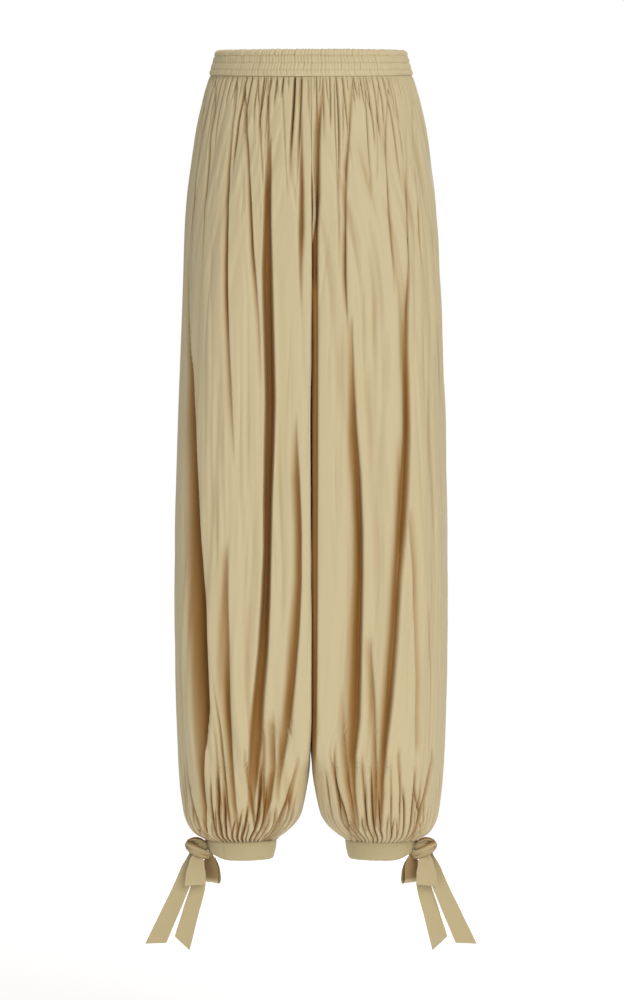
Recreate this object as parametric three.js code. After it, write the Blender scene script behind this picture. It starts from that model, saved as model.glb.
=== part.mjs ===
// Full-length bloomer trousers, filled out as they are when worn and with no wearer inside.
// Millimetres, +Z up. The front faces -Y and the garment's own left leg is on +X.
// The origin is the centre of the waist, half way up the waistband, where the wearer holds the trousers.
//
// Each leg is cut as a front and a back panel that meet at the side seam, at the centre or crotch seam
// and at the inseam. The fabric is gathered into the waistband and into two ankle cuffs, and straps
// that run on from the ends of each cuff are tied in a bow on its outer side.

import * as THREE from 'three';

// Driving dimensions ------------------------------------------------------------------------------

const CLOTH = 1.2; // wall of the gathered fabric
const SEAM_GAP = 0.3; // clearance between two pieces that are sewn together
const BAND_CLOTH = 2.6; // waistband: two layers over elastic
const CUFF_CLOTH = 2.2; // cuff: two layers and interfacing
const STRAP_CLOTH = 1.2; // tie straps: two layers pressed flat
const STRAP_WIDTH = 26;

const BAND_TOP = 14.5; // upper edge of the waistband at the sides
const BAND_BOTTOM = -15.5; // waist seam at the sides
const BAND_TOP_TILT = 0.125; // how far that edge drops towards the front, per mm of depth
const WAIST_TILT = 0.165; // and the waist seam
const TILT_ENDS = -300; // height below which the rows are level

const CROTCH = -335; // lowest point of the crotch seam
const CROTCH_BEND = -250; // height where the centre seam starts to curve under
const ANKLE_SEAM = -1024; // where the leg is gathered into the cuff
const CUFF_DROP = 25; // height of the cuff

const WAIST_GATHERED = 19; // gathers of one panel at the waist
const CUFF_GATHERED = 23; // gathers of one panel at the cuff
const OUTER_COLUMNS = 2 * WAIST_GATHERED; // on each gather's ridge and in its valley, out to the inner corner
const INNER_COLUMNS = 2 * (CUFF_GATHERED - WAIST_GATHERED); // from the inner corner to the inseam
const ARC_STEPS = 480; // samples along a panel's outline before its columns are spaced out
const CORNER_STEP = 0.7; // share of those samples that lie outside the inner corner
const DEEP = 13; // depth from which a fold keeps to one column
const INNER_LEVEL = -430; // height below which the rows of the inner leg are level
const CREASE = 0.5; // how strongly a fold's lips lean over its valley
const LOBE = 0.09; // how far the cloth beside a fold stands out, as a share of the fold's depth

const CLOTH_COLOUR = 0xcdbf95;
const BAND_COLOUR = 0xc6b78b;
const STRAP_COLOUR = 0xb9a87c;

// The leg's outline at each height. outer and inner are its reach from the centre plane, front and back
// its depth. split is 0 where both legs share one oval and 1 where the leg has its own, and corner is
// the share of the depth that its inner corner takes up.
const SECTIONS = [
  { z: -18, outer: 132, inner: 0.15, front: 97, back: 97, split: 0.0, corner: 0.5 },
  { z: -49, outer: 142, inner: 0.15, front: 108, back: 111, split: 0.0, corner: 0.5 },
  { z: -78, outer: 149, inner: 0.15, front: 114, back: 121, split: 0.03, corner: 0.5 },
  { z: -130, outer: 157, inner: 0.15, front: 119, back: 131, split: 0.12, corner: 0.5 },
  { z: -183, outer: 163.5, inner: 0.3, front: 122, back: 137, split: 0.34, corner: 0.5 },
  { z: -250, outer: 167, inner: 0.45, front: 124, back: 140, split: 0.72, corner: 0.5 },
  { z: -335, outer: 170, inner: 0.6, front: 124, back: 140, split: 1.0, corner: 0.5 },
  { z: -445, outer: 174, inner: 1.2, front: 123, back: 138, split: 1.0, corner: 0.5 },
  { z: -577, outer: 177.5, inner: 1.2, front: 121, back: 134, split: 1.0, corner: 0.5 },
  { z: -709, outer: 179, inner: 1.2, front: 119, back: 130, split: 1.0, corner: 0.52 },
  { z: -841, outer: 177, inner: 1.2, front: 115, back: 124, split: 1.0, corner: 0.56 },
  { z: -920, outer: 174, inner: 1.7, front: 109, back: 117, split: 1.0, corner: 0.66 },
  { z: -964, outer: 170.5, inner: 7.6, front: 101, back: 108, split: 1.0, corner: 0.8 },
  { z: -989, outer: 166, inner: 14.5, front: 89, back: 95, split: 1.0, corner: 0.92 },
  { z: -1004, outer: 160, inner: 24, front: 74, back: 79, split: 1.0, corner: 1.0 },
  { z: -1014, outer: 153, inner: 35, front: 58, back: 61, split: 1.0, corner: 1.0 },
  { z: -1020, outer: 146, inner: 42, front: 47, back: 48, split: 1.0, corner: 1.0 },
  { z: -1024, outer: 140, inner: 45, front: 41, back: 41, split: 1.0, corner: 1.0 },
];

// Heights of a panel's rows, measured at the side seam. The inner leg starts at the row of CROTCH_BEND.
const ROWS = [-15.5, -30, -52, -90, -140, -195, -250, -320, -430, -560, -700, -830, -915, -966, -998, -1014, -1024];

// The large folds, from the outer side inwards. top and bottom are where a fold runs out, xTop, xMid and
// xLow its distance from the centre plane at the top, half way and at the bottom, fadeTop and fadeLow the
// lengths over which it deepens and dies away. Its valley is width across on each side. A fold with a
// steep of 1 drops sharply on its +X side, one of -1 on its -X side.
const FOLDS = {
  right: {
    front: [
      { top: -150, bottom: -880, xTop: 160, xMid: 172, xLow: 168, depth: 9, width: 9, steep: 1, fadeTop: 200, fadeLow: 220 },
      { top: -95, bottom: -265, xTop: 137, xMid: 139, xLow: 140, depth: 10, width: 5, steep: 1, fadeTop: 60, fadeLow: 90 },
      { top: -190, bottom: -960, xTop: 162, xMid: 147, xLow: 135, depth: 35, width: 8, steep: 1, fadeTop: 230, fadeLow: 190 },
      { top: -90, bottom: -280, xTop: 124, xMid: 127, xLow: 127, depth: 10, width: 6, steep: -1, fadeTop: 70, fadeLow: 110 },
      { top: -70, bottom: -400, xTop: 101, xMid: 107, xLow: 108, depth: 17, width: 5, steep: 1, fadeTop: 100, fadeLow: 150 },
      { top: -520, bottom: -985, xTop: 108, xMid: 112, xLow: 107, depth: 7, width: 12, steep: 1, fadeTop: 170, fadeLow: 90 },
      { top: -60, bottom: -520, xTop: 83, xMid: 76, xLow: 72, depth: 15, width: 5.5, steep: 1, fadeTop: 110, fadeLow: 220 },
      { top: -95, bottom: -985, xTop: 58, xMid: 55, xLow: 68, depth: 36, width: 8, steep: 1, fadeTop: 200, fadeLow: 170 },
      { top: -200, bottom: -700, xTop: 36, xMid: 35, xLow: 38, depth: 8, width: 6, steep: 1, fadeTop: 120, fadeLow: 180 },
      { top: -90, bottom: -985, xTop: 8, xMid: 17, xLow: 40, depth: 17, width: 8, steep: 1, fadeTop: 200, fadeLow: 120 },
    ],
    back: [
      { top: -200, bottom: -960, xTop: 161, xMid: 171, xLow: 165, depth: 12, width: 9, steep: -1, fadeTop: 180, fadeLow: 200 },
      { top: -100, bottom: -620, xTop: 138, xMid: 150, xLow: 146, depth: 22, width: 7, steep: -1, fadeTop: 160, fadeLow: 200 },
      { top: -240, bottom: -970, xTop: 128, xMid: 122, xLow: 118, depth: 31, width: 8, steep: 1, fadeTop: 220, fadeLow: 160 },
      { top: -70, bottom: -440, xTop: 108, xMid: 112, xLow: 106, depth: 14, width: 6, steep: -1, fadeTop: 110, fadeLow: 170 },
      { top: -80, bottom: -900, xTop: 84, xMid: 90, xLow: 96, depth: 28, width: 7, steep: -1, fadeTop: 200, fadeLow: 220 },
      { top: -110, bottom: -985, xTop: 60, xMid: 58, xLow: 74, depth: 34, width: 8, steep: 1, fadeTop: 240, fadeLow: 150 },
      { top: -60, bottom: -560, xTop: 38, xMid: 32, xLow: 30, depth: 18, width: 6, steep: -1, fadeTop: 120, fadeLow: 220 },
      { top: -400, bottom: -980, xTop: 22, xMid: 28, xLow: 44, depth: 20, width: 9, steep: 1, fadeTop: 200, fadeLow: 130 },
    ],
  },
  left: {
    front: [
      { top: -220, bottom: -900, xTop: 163, xMid: 171, xLow: 167, depth: 8, width: 9, steep: 1, fadeTop: 220, fadeLow: 200 },
      { top: -80, bottom: -420, xTop: 132, xMid: 141, xLow: 148, depth: 13, width: 4.5, steep: -1, fadeTop: 90, fadeLow: 160 },
      { top: -620, bottom: -960, xTop: 146, xMid: 152, xLow: 146, depth: 12, width: 7, steep: 1, fadeTop: 130, fadeLow: 110 },
      { top: -165, bottom: -985, xTop: 123, xMid: 120, xLow: 89, depth: 26, width: 7, steep: 1, fadeTop: 130, fadeLow: 130 },
      { top: -66, bottom: -380, xTop: 91, xMid: 96, xLow: 102, depth: 17, width: 5.5, steep: -1, fadeTop: 90, fadeLow: 190 },
      { top: -420, bottom: -985, xTop: 73, xMid: 72, xLow: 66, depth: 14, width: 9, steep: -1, fadeTop: 200, fadeLow: 130 },
      { top: -75, bottom: -985, xTop: 48, xMid: 58, xLow: 52, depth: 27, width: 10, steep: 1, fadeTop: 190, fadeLow: 150 },
      { top: -60, bottom: -430, xTop: 29, xMid: 28, xLow: 30, depth: 13, width: 5, steep: 1, fadeTop: 90, fadeLow: 200 },
      { top: -480, bottom: -985, xTop: 24, xMid: 24, xLow: 34, depth: 9, width: 9, steep: -1, fadeTop: 200, fadeLow: 120 },
    ],
    back: [
      { top: -160, bottom: -930, xTop: 158, xMid: 172, xLow: 166, depth: 11, width: 9, steep: 1, fadeTop: 200, fadeLow: 220 },
      { top: -90, bottom: -700, xTop: 136, xMid: 148, xLow: 150, depth: 24, width: 7, steep: 1, fadeTop: 170, fadeLow: 220 },
      { top: -330, bottom: -980, xTop: 124, xMid: 125, xLow: 112, depth: 30, width: 8, steep: -1, fadeTop: 220, fadeLow: 150 },
      { top: -60, bottom: -480, xTop: 100, xMid: 98, xLow: 96, depth: 16, width: 6, steep: 1, fadeTop: 100, fadeLow: 200 },
      { top: -120, bottom: -985, xTop: 72, xMid: 76, xLow: 88, depth: 34, width: 8, steep: -1, fadeTop: 220, fadeLow: 170 },
      { top: -70, bottom: -420, xTop: 52, xMid: 48, xLow: 50, depth: 13, width: 6, steep: 1, fadeTop: 110, fadeLow: 170 },
      { top: -180, bottom: -960, xTop: 34, xMid: 42, xLow: 56, depth: 26, width: 8, steep: -1, fadeTop: 220, fadeLow: 170 },
    ],
  },
};

// How far a gather runs from its seam: most die away soon and a few run on as folds.
const WAIST_GATHERS = [
  { length: 45, depth: 3.4, width: 1.7 },
  { length: 120, depth: 5.5, width: 2.2 },
  { length: 70, depth: 4.2, width: 1.9 },
  { length: 210, depth: 7.5, width: 2.5 },
  { length: 55, depth: 3.6, width: 1.7 },
  { length: 95, depth: 5.0, width: 2.1 },
  { length: 150, depth: 6.5, width: 2.3 },
];
const CUFF_GATHERS = [
  { length: 90, depth: 5.2, width: 2.3 },
  { length: 55, depth: 3.2, width: 1.8 },
  { length: 130, depth: 6.8, width: 2.6 },
  { length: 65, depth: 3.6, width: 1.9 },
  { length: 105, depth: 5.6, width: 2.3 },
];

// Small helpers -----------------------------------------------------------------------------------

const mix = (from, to, share) => from + (to - from) * share;
const clamp01 = (value) => Math.min(1, Math.max(0, value));

function ease(value) {
  const share = clamp01(value);
  return share * share * (3 - 2 * share);
}

// A repeatable scatter between -1 and 1 for the number of a gather.
function scatter(number, salt) {
  return (((number * 7919 + salt * 104729 + 611) % 1009) / 1009) * 2 - 1;
}

// A smooth curve through one column of a table whose heights go down, with no overshoot.
function curveOf(rows, column) {
  const z = rows.map((row) => row.z);
  const value = rows.map((row) => row[column]);
  const slope = z.slice(1).map((_, i) => (value[i + 1] - value[i]) / (z[i + 1] - z[i]));
  const tangent = value.map((_, i) => {
    if (i === 0) return slope[0];
    if (i === value.length - 1) return slope[i - 1];
    if (slope[i - 1] * slope[i] <= 0) return 0;
    return (2 * slope[i - 1] * slope[i]) / (slope[i - 1] + slope[i]);
  });
  return (height) => {
    let i = 0;
    while (i < z.length - 2 && height < z[i + 1]) i += 1;
    const span = z[i + 1] - z[i];
    const t = clamp01((height - z[i]) / span);
    const start = value[i] * (1 + 2 * t) * (1 - t) ** 2 + tangent[i] * span * t * (1 - t) ** 2;
    const end = value[i + 1] * t * t * (3 - 2 * t) + tangent[i + 1] * span * t * t * (t - 1);
    return start + end;
  };
}

const profile = Object.fromEntries(
  ['outer', 'inner', 'front', 'back', 'split', 'corner'].map((column) => [column, curveOf(SECTIONS, column)]),
);

// The body of the trousers ------------------------------------------------------------------------

const SWAY_FRONT = 1.6; // how far the gap between the legs wanders from the centre plane at the front
const SWAY_BACK = 6; // and at the back
const SWAY_DEPTH = 110; // depth over which it does so
const SWAY_ENDS = -940; // height below which it runs straight
const LEG_ROUND = 2.2; // exponents of the leg's outline, 2 is an ellipse
const CORNER_ROUND = { front: 4.2, back: 2.8 }; // and round its inner corner

// A point of the smooth outline. q is 0 on the side seam, 1 on the leg's inner front (or back) corner
// and 2 on the inseam. Both legs are worked out on +X and mirrored by side.
function outlinePoint(side, face, z, q) {
  const outer = profile.outer(z);
  const inner = profile.inner(z);
  const depth = profile[face](z);
  const split = profile.split(z);
  const corner = profile.corner(z);
  const across = Math.cos((Math.min(q, 1) * Math.PI) / 2);
  const wall = depth * (1 - corner);
  const shared = depth * Math.sqrt(1 - across * across);
  const offset = Math.abs(2 * across - 1);
  const power = across > 0.5 ? LEG_ROUND : mix(CORNER_ROUND[face], 2, ease((corner - 0.6) / 0.4));
  const base = across > 0.5 ? 0 : wall;
  const own = base + (depth - base) * Math.max(0, 1 - offset ** power) ** (1 / power);
  const reach = mix(shared, own, split) * (q > 1 ? 2 - q : 1);
  const y = (face === 'front' ? -1 : 1) * Math.max(reach, SEAM_GAP / 2);
  const wander = y < 0 ? SWAY_FRONT : SWAY_BACK;
  const sway = -wander * Math.sin(Math.PI * (clamp01(y / SWAY_DEPTH + 0.5) - 0.5));
  const straight = Math.min(ease((z - SWAY_ENDS) / 90), 1 - ease((corner - 0.6) / 0.3));
  const nearCentre = split * (1 - ease(across * 2.5)) * straight;
  return { x: side * (inner + (outer - inner) * across) + sway * nearCentre, y };
}

// How far round a row reaches: to the centre seam above the crotch and to the inseam below it.
function lastQ(z) {
  if (z >= CROTCH_BEND) return 1;
  const down = clamp01((CROTCH_BEND - z) / (CROTCH_BEND - CROTCH));
  return 2 - Math.sqrt(Math.max(0, 1 - down * down));
}

// The smooth outline of one panel at one height, with its length and the way it faces.
function outline(side, face, z) {
  const end = lastQ(z);
  const points = [];
  const toCorner = end > 1 ? CORNER_STEP : 1;
  for (let i = 0; i <= ARC_STEPS; i += 1) {
    const t = i / ARC_STEPS;
    // close together near the inner corner, where the outline turns most
    const beforeCorner = 1 - Math.max(0, 1 - t / toCorner) ** 1.7;
    const q = t > toCorner ? 1 + ((t - toCorner) / (1 - toCorner)) * (end - 1) : beforeCorner;
    points.push({ q, ...outlinePoint(side, face, z, q) });
  }
  const sign = side * (face === 'front' ? -1 : 1);
  let arc = 0;
  points.forEach((point, i) => {
    if (i > 0) arc += Math.hypot(point.x - points[i - 1].x, point.y - points[i - 1].y);
    point.arc = arc;
    const before = points[Math.max(0, i - 3)];
    const after = points[Math.min(ARC_STEPS, i + 3)];
    const run = Math.hypot(after.x - before.x, after.y - before.y) || 1;
    point.tangentX = (after.x - before.x) / run;
    point.tangentY = (after.y - before.y) / run;
    point.normalX = sign * point.tangentY;
    point.normalY = -sign * point.tangentX;
  });
  return points;
}

// The arc position of a given q, or the q of an arc position.
function lookUp(points, from, to, value) {
  let low = 0;
  let high = points.length - 1;
  while (high - low > 1) {
    const middle = (low + high) >> 1;
    if (points[middle][from] <= value) low = middle;
    else high = middle;
  }
  const span = points[high][from] - points[low][from];
  const share = span > 0 ? clamp01((value - points[low][from]) / span) : 0;
  return mix(points[low][to], points[high][to], share);
}

// Where each gather of a panel starts on its seam, as a share of the seam's length.
function gatherShares(count, salt) {
  return Array.from({ length: count }, (_, i) => (i + 0.5 + 0.22 * scatter(i, salt)) / count);
}

function saltOf(side, face) {
  return (side > 0 ? 3 : 11) + (face === 'front' ? 0 : 5);
}

// A fold's path: a parabola through its three distances from the centre plane.
function foldX(fold, z) {
  const t = (fold.top - z) / (fold.top - fold.bottom);
  return fold.xTop * (1 - t) * (1 - 2 * t) + 4 * fold.xMid * t * (1 - t) + fold.xLow * t * (2 * t - 1);
}

// Each panel's outline at the waist seam, which places its gathers.
const waistOutlines = {};

// Every valley that crosses a row: where it lies, how deep it is and how wide on each side.
function valleysAt(side, face, z, points) {
  const length = points[points.length - 1].arc;
  const valleys = [];
  const legName = side > 0 ? 'left' : 'right';
  FOLDS[legName][face].forEach((fold) => {
    if (z > fold.top || z < fold.bottom) return;
    const strength = ease((fold.top - z) / fold.fadeTop) * ease((z - fold.bottom) / fold.fadeLow);
    const inner = profile.inner(z);
    const across = clamp01((foldX(fold, z) - inner) / (profile.outer(z) - inner));
    const at = lookUp(points, 'q', 'arc', (Math.acos(across) * 2) / Math.PI);
    const width = fold.width * mix(0.55, 1, strength);
    const grip = (2 * fold.depth * ease(strength * 5)) / (width * Math.sqrt(Math.PI));
    const steep = fold.steep * side * -1;
    valleys.push({ at, depth: fold.depth * strength, width, steep, grip, fold, strength });
  });
  const salt = saltOf(side, face);
  const waist = waistOutlines[salt];
  gatherShares(WAIST_GATHERED, salt).forEach((share, i) => {
    const gather = WAIST_GATHERS[(i * 3 + salt) % WAIST_GATHERS.length];
    const drop = BAND_BOTTOM - z;
    if (drop > gather.length) return;
    const q = lookUp(waist, 'arc', 'q', share * waist[waist.length - 1].arc);
    const along = drop / gather.length;
    const strength = (0.55 + 0.45 * ease(along * 4)) * (1 - ease((along - 0.35) / 0.65));
    const at = lookUp(points, 'q', 'arc', q);
    valleys.push({ at, depth: gather.depth * strength, width: gather.width * (1 + 1.3 * along), steep: 0 });
  });
  gatherShares(CUFF_GATHERED, salt + 2).forEach((share, i) => {
    const gather = CUFF_GATHERS[(i * 2 + salt) % CUFF_GATHERS.length];
    const rise = z - ANKLE_SEAM;
    if (rise > gather.length) return;
    const along = rise / gather.length;
    const strength = (0.45 + 0.55 * ease(along * 5)) * (1 - ease((along - 0.3) / 0.7));
    const width = gather.width * (1 + 1.6 * clamp01(rise / 60));
    valleys.push({ at: share * length, depth: gather.depth * strength, width, steep: 0 });
  });
  return valleys;
}

// The row with its folds pressed in. Folds die away at the seams, so that the panels meet there. Each point
// also gets a weight, the running share of the row's columns: they crowd into the folds.
function foldedRow(side, face, z) {
  const points = outline(side, face, z);
  const length = points[points.length - 1].arc;
  const valleys = valleysAt(side, face, z, points);
  let weight = 0;
  points.forEach((point, i) => {
    let depths = 0;
    let banks = 0;
    let slide = 0;
    let grip = 1;
    valleys.forEach((valley) => {
      const gap = point.arc - valley.at;
      const steepSide = valley.steep * gap > 0;
      const lean = valley.steep === 0 ? 1 : steepSide ? 0.75 : 1.35;
      const away = gap / (valley.width * lean);
      if (Math.abs(away) > 5) return;
      const power = steepSide ? 2.6 : 2;
      // where two valleys meet, the deeper one counts
      depths += (valley.depth * Math.exp(-(Math.abs(away) ** power))) ** 3;
      if (!valley.fold) return;
      banks += valley.depth * LOBE * Math.exp(-((away / 2.4) ** 2));
      slide -= valley.depth * CREASE * 0.2 * away * Math.exp(-away * away);
      grip += valley.grip * Math.exp(-away * away);
    });
    const hold = ease(Math.min(point.arc, length - point.arc) / 7);
    const push = Math.cbrt(depths) - banks * (1 - ease((point.q - 0.75) / 0.2));
    point.foldX = point.x + (-point.normalX * push + point.tangentX * slide) * hold;
    point.foldY = point.y + (-point.normalY * push + point.tangentY * slide) * hold;
    if (i > 0) weight += (point.arc - points[i - 1].arc) * grip;
    point.weight = weight;
  });
  points.valleys = valleys;
  return points;
}

// The height of the crotch seam at a given q, from the centre seam (1) to the inseam (2).
function crotchHeight(q) {
  return CROTCH_BEND - (CROTCH_BEND - CROTCH) * Math.sqrt(Math.max(0, 1 - (2 - q) ** 2));
}

const nearCuff = (z) => 1 - ease((z - ANKLE_SEAM - 20) / 120);
const nearWaist = (z) => 1 - ease((-60 - z) / 150);

// The weight at which a row passes from the outer columns to the inner ones.
function cornerWeight(points, z) {
  const whole = points[points.length - 1].weight;
  return mix(lookUp(points, 'q', 'weight', 1), (whole * WAIST_GATHERED) / CUFF_GATHERED, nearCuff(z));
}

function columnAt(points, z, arc) {
  return (OUTER_COLUMNS * lookUp(points, 'arc', 'weight', arc)) / cornerWeight(points, z);
}

// The column that the valley of each deep fold keeps to from top to bottom.
function deepColumns(side, face) {
  const sums = new Map();
  ROWS.forEach((z) => {
    const points = foldedRow(side, face, z);
    points.valleys.forEach(({ fold, strength, at }) => {
      if (!fold || fold.depth < DEEP) return;
      const sum = sums.get(fold) ?? { columns: 0, strengths: 0 };
      sum.columns += columnAt(points, z, at) * strength;
      sum.strengths += strength;
      sums.set(fold, sum);
    });
  });
  return new Map([...sums].map(([fold, sum]) => [fold, Math.round(sum.columns / sum.strengths)]));
}

// Arc positions of a row's columns: spaced by weight, with the deep folds on their own columns, and drawn to
// the ridges and valleys of the gathers near the two gathered seams.
function columnArcs(side, face, z, points, deep) {
  const last = points[points.length - 1];
  const salt = saltOf(side, face);
  const seamShare = (count, seamSalt, column) => {
    const shares = gatherShares(count, seamSalt);
    if (column === 0 || column === 2 * count) return column / (2 * count);
    if (column % 2 === 1) return shares[(column - 1) / 2];
    return (shares[column / 2 - 1] + shares[column / 2]) / 2;
  };
  const corner = cornerWeight(points, z);
  const steps = [{ plain: 0, moved: 0 }];
  points.valleys.filter(({ fold }) => deep.has(fold)).sort((a, b) => a.at - b.at).forEach((valley) => {
    const plain = columnAt(points, z, valley.at);
    const moved = mix(plain, deep.get(valley.fold), ease(valley.strength * 5));
    const before = steps[steps.length - 1];
    if (plain > before.plain + 1.5 && moved > before.moved + 1.5) steps.push({ plain, moved });
  });
  steps.push({ plain: OUTER_COLUMNS, moved: OUTER_COLUMNS });
  const waist = waistOutlines[salt];
  const columns = OUTER_COLUMNS + (z < CROTCH ? INNER_COLUMNS : 0);
  return Array.from({ length: columns + 1 }, (_, column) => {
    const outer = (corner * lookUp(steps, 'moved', 'plain', column)) / OUTER_COLUMNS;
    const inner = mix(corner, last.weight, (column - OUTER_COLUMNS) / INNER_COLUMNS);
    const even = lookUp(points, 'weight', 'arc', column <= OUTER_COLUMNS ? outer : inner);
    if (nearCuff(z) > 0) return mix(even, seamShare(CUFF_GATHERED, salt + 2, column) * last.arc, nearCuff(z));
    if (nearWaist(z) <= 0 || column === OUTER_COLUMNS) return even;
    const start = seamShare(WAIST_GATHERED, salt, column) * waist[waist.length - 1].arc;
    return mix(even, lookUp(points, 'q', 'arc', lookUp(waist, 'arc', 'q', start)), nearWaist(z));
  });
}

// A closed wall from an open surface of points and four-sided faces, thickened on the side away from its
// faces. A point with a hold isn't moved along that axis, so that two edges stay apart at their seam.
function wallOf(points, faces, thickness) {
  const normals = points.map(() => new THREE.Vector3());
  faces.forEach((face) => {
    const [a, b, c, d] = face.map((i) => points[i]);
    const facing = c.clone().sub(a).cross(d.clone().sub(b)).normalize();
    face.forEach((i) => normals[i].add(facing));
  });
  const inner = points.map((point, i) => {
    if (point.hold) normals[i][point.hold] = 0;
    return point.clone().addScaledVector(normals[i].normalize(), -thickness);
  });
  const count = points.length;
  const triangles = [];
  const edges = new Set();
  faces.forEach((face) => {
    const [a, b, c, d] = face;
    const straight = points[a].distanceTo(points[c]) <= points[b].distanceTo(points[d]);
    const halves = straight ? [[a, b, c], [a, c, d]] : [[a, b, d], [b, c, d]];
    halves.forEach(([i, j, k]) => triangles.push(i, j, k, count + k, count + j, count + i));
    face.forEach((from, i) => edges.add(`${from},${face[(i + 1) % 4]}`));
  });
  edges.forEach((edge) => {
    const [a, b] = edge.split(',').map(Number);
    if (edges.has(`${b},${a}`)) return;
    triangles.push(b, a, count + a, b, count + a, count + b);
  });
  return solidOf([...points, ...inner], triangles);
}

function solidOf(points, triangles) {
  const geometry = new THREE.BufferGeometry();
  geometry.setAttribute('position', new THREE.Float32BufferAttribute(points.flatMap((p) => [p.x, p.y, p.z]), 3));
  geometry.setIndex(triangles);
  return geometry;
}

// Four-sided faces of a grid of point numbers, turned over if asked.
function facesOf(grid, turnOver) {
  const faces = [];
  for (let row = 0; row < grid.length - 1; row += 1) {
    for (let column = 0; column < grid[row].length - 1; column += 1) {
      const face = [grid[row][column], grid[row + 1][column], grid[row + 1][column + 1], grid[row][column + 1]];
      faces.push(turnOver ? face.reverse() : face);
    }
  }
  return faces;
}

// A wall from one plain grid of points.
function gridWall(grid, thickness, turnOver) {
  const columns = grid[0].length;
  const numbers = grid.map((line, row) => line.map((_, column) => row * columns + column));
  return wallOf(grid.flat(), facesOf(numbers, turnOver), thickness);
}

function tiltAt(z) {
  return WAIST_TILT * (1 - ease((BAND_BOTTOM - z) / (BAND_BOTTOM - TILT_ENDS)));
}

// One panel of one leg, from the waist seam to the ankle seam: the part that shows from outside, and the
// inner leg, which starts at the crotch seam and shares the inner corner's column with it.
function panel(side, face) {
  waistOutlines[saltOf(side, face)] = outline(side, face, BAND_BOTTOM);
  const deep = deepColumns(side, face);
  const points = [];
  const place = (row, height, from, value, hold) => {
    const x = lookUp(row, from, 'foldX', value);
    const y = lookUp(row, from, 'foldY', value);
    const point = new THREE.Vector3(x, y, height + y * tiltAt(height));
    point.hold = hold;
    return points.push(point) - 1;
  };
  const innerStart = ROWS.indexOf(CROTCH_BEND);
  const outerGrid = [];
  const innerGrid = [];
  ROWS.forEach((height, row) => {
    const folded = foldedRow(side, face, height);
    const arcs = columnArcs(side, face, height, folded, deep);
    const atSeam = row === 0 || row === ROWS.length - 1;
    const trimmed = height + (row === 0 ? -SEAM_GAP / 2 : atSeam ? SEAM_GAP / 2 : 0);
    const holdOf = (column) => {
      if (column === 0 || column === OUTER_COLUMNS + INNER_COLUMNS) return 'y';
      if (column === OUTER_COLUMNS && row < innerStart) return 'x';
      return atSeam ? 'z' : null;
    };
    const line = arcs.map((arc, column) => place(folded, trimmed, 'arc', arc, holdOf(column)));
    outerGrid.push(line.slice(0, OUTER_COLUMNS + 1));
    if (row < innerStart) return;
    if (height <= INNER_LEVEL) {
      innerGrid.push(line.slice(OUTER_COLUMNS));
      return;
    }
    const share = (CROTCH_BEND - height) / (CROTCH_BEND - INNER_LEVEL);
    const steps = Array.from({ length: INNER_COLUMNS }, (_, i) => 1 + (i + 1) / INNER_COLUMNS);
    innerGrid.push([line[OUTER_COLUMNS], ...steps.map((q) => {
      const innerHeight = mix(crotchHeight(q), INNER_LEVEL, share);
      return place(foldedRow(side, face, innerHeight), innerHeight, 'q', q, q === 2 ? 'y' : null);
    })]);
  });
  const turnOver = side > 0 === (face === 'front');
  return wallOf(points, [...facesOf(outerGrid, turnOver), ...facesOf(innerGrid, turnOver)], CLOTH);
}

// Waistband ---------------------------------------------------------------------------------------

const BAND_COLUMNS = 48;
const BAND_TAPER = 11; // how much narrower its upper edge is, on each side
// Stitched rows divide the band into channels, and the elastic makes each one stand out.
const BAND_RINGS = [
  { height: 1, bulge: -0.6 },
  { height: 0.93, bulge: 0.9 },
  { height: 0.83, bulge: 0.2 },
  { height: 0.68, bulge: 1.5 },
  { height: 0.54, bulge: 0.2 },
  { height: 0.42, bulge: 1.5 },
  { height: 0.3, bulge: 0.2 },
  { height: 0.15, bulge: 1.6 },
  { height: 0, bulge: 0 },
  { height: 0, bulge: -BAND_CLOTH },
  { height: 1, bulge: -BAND_CLOTH },
];

function waistband() {
  const points = BAND_RINGS.flatMap((ring) => {
    const z = mix(BAND_BOTTOM + SEAM_GAP / 2, BAND_TOP, ring.height);
    const halfWidth = profile.outer(BAND_BOTTOM) - BAND_TAPER * ring.height + ring.bulge;
    const halfDepth = profile.front(BAND_BOTTOM) - BAND_TAPER * 0.7 * ring.height + ring.bulge;
    return Array.from({ length: BAND_COLUMNS }, (_, i) => {
      const angle = (i / BAND_COLUMNS) * 2 * Math.PI;
      const y = halfDepth * Math.sin(angle);
      return new THREE.Vector3(halfWidth * Math.cos(angle), y, z + y * mix(WAIST_TILT, BAND_TOP_TILT, ring.height));
    });
  });
  const triangles = BAND_RINGS.flatMap((_, ring) =>
    Array.from({ length: BAND_COLUMNS }, (__, i) => {
      const next = (i + 1) % BAND_COLUMNS;
      const upper = ring * BAND_COLUMNS;
      const lower = ((ring + 1) % BAND_RINGS.length) * BAND_COLUMNS;
      return [lower + i, lower + next, upper + next, lower + i, upper + next, upper + i];
    }).flat(),
  );
  return solidOf(points, triangles);
}

// Cuffs -------------------------------------------------------------------------------------------

const CUFF_COLUMNS = 32;
const CUFF_CENTRE = (profile.outer(ANKLE_SEAM) + profile.inner(ANKLE_SEAM)) / 2;
const CUFF_HALF_WIDTH = (profile.outer(ANKLE_SEAM) - profile.inner(ANKLE_SEAM)) / 2;
const CUFF_HALF_DEPTH = profile.front(ANKLE_SEAM);
const CUFF_TAPER = 4.5;
const CUFF_OPENING = 0.07; // half the gap between the cuff's ends, in radians
const PINCH_ANGLE = 1.2; // how far from its ends the cuff starts to narrow into the straps
const PINCH = 0.45; // share of its height that it loses there
const CUFF_RINGS = [0, 0.5, 1];

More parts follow.
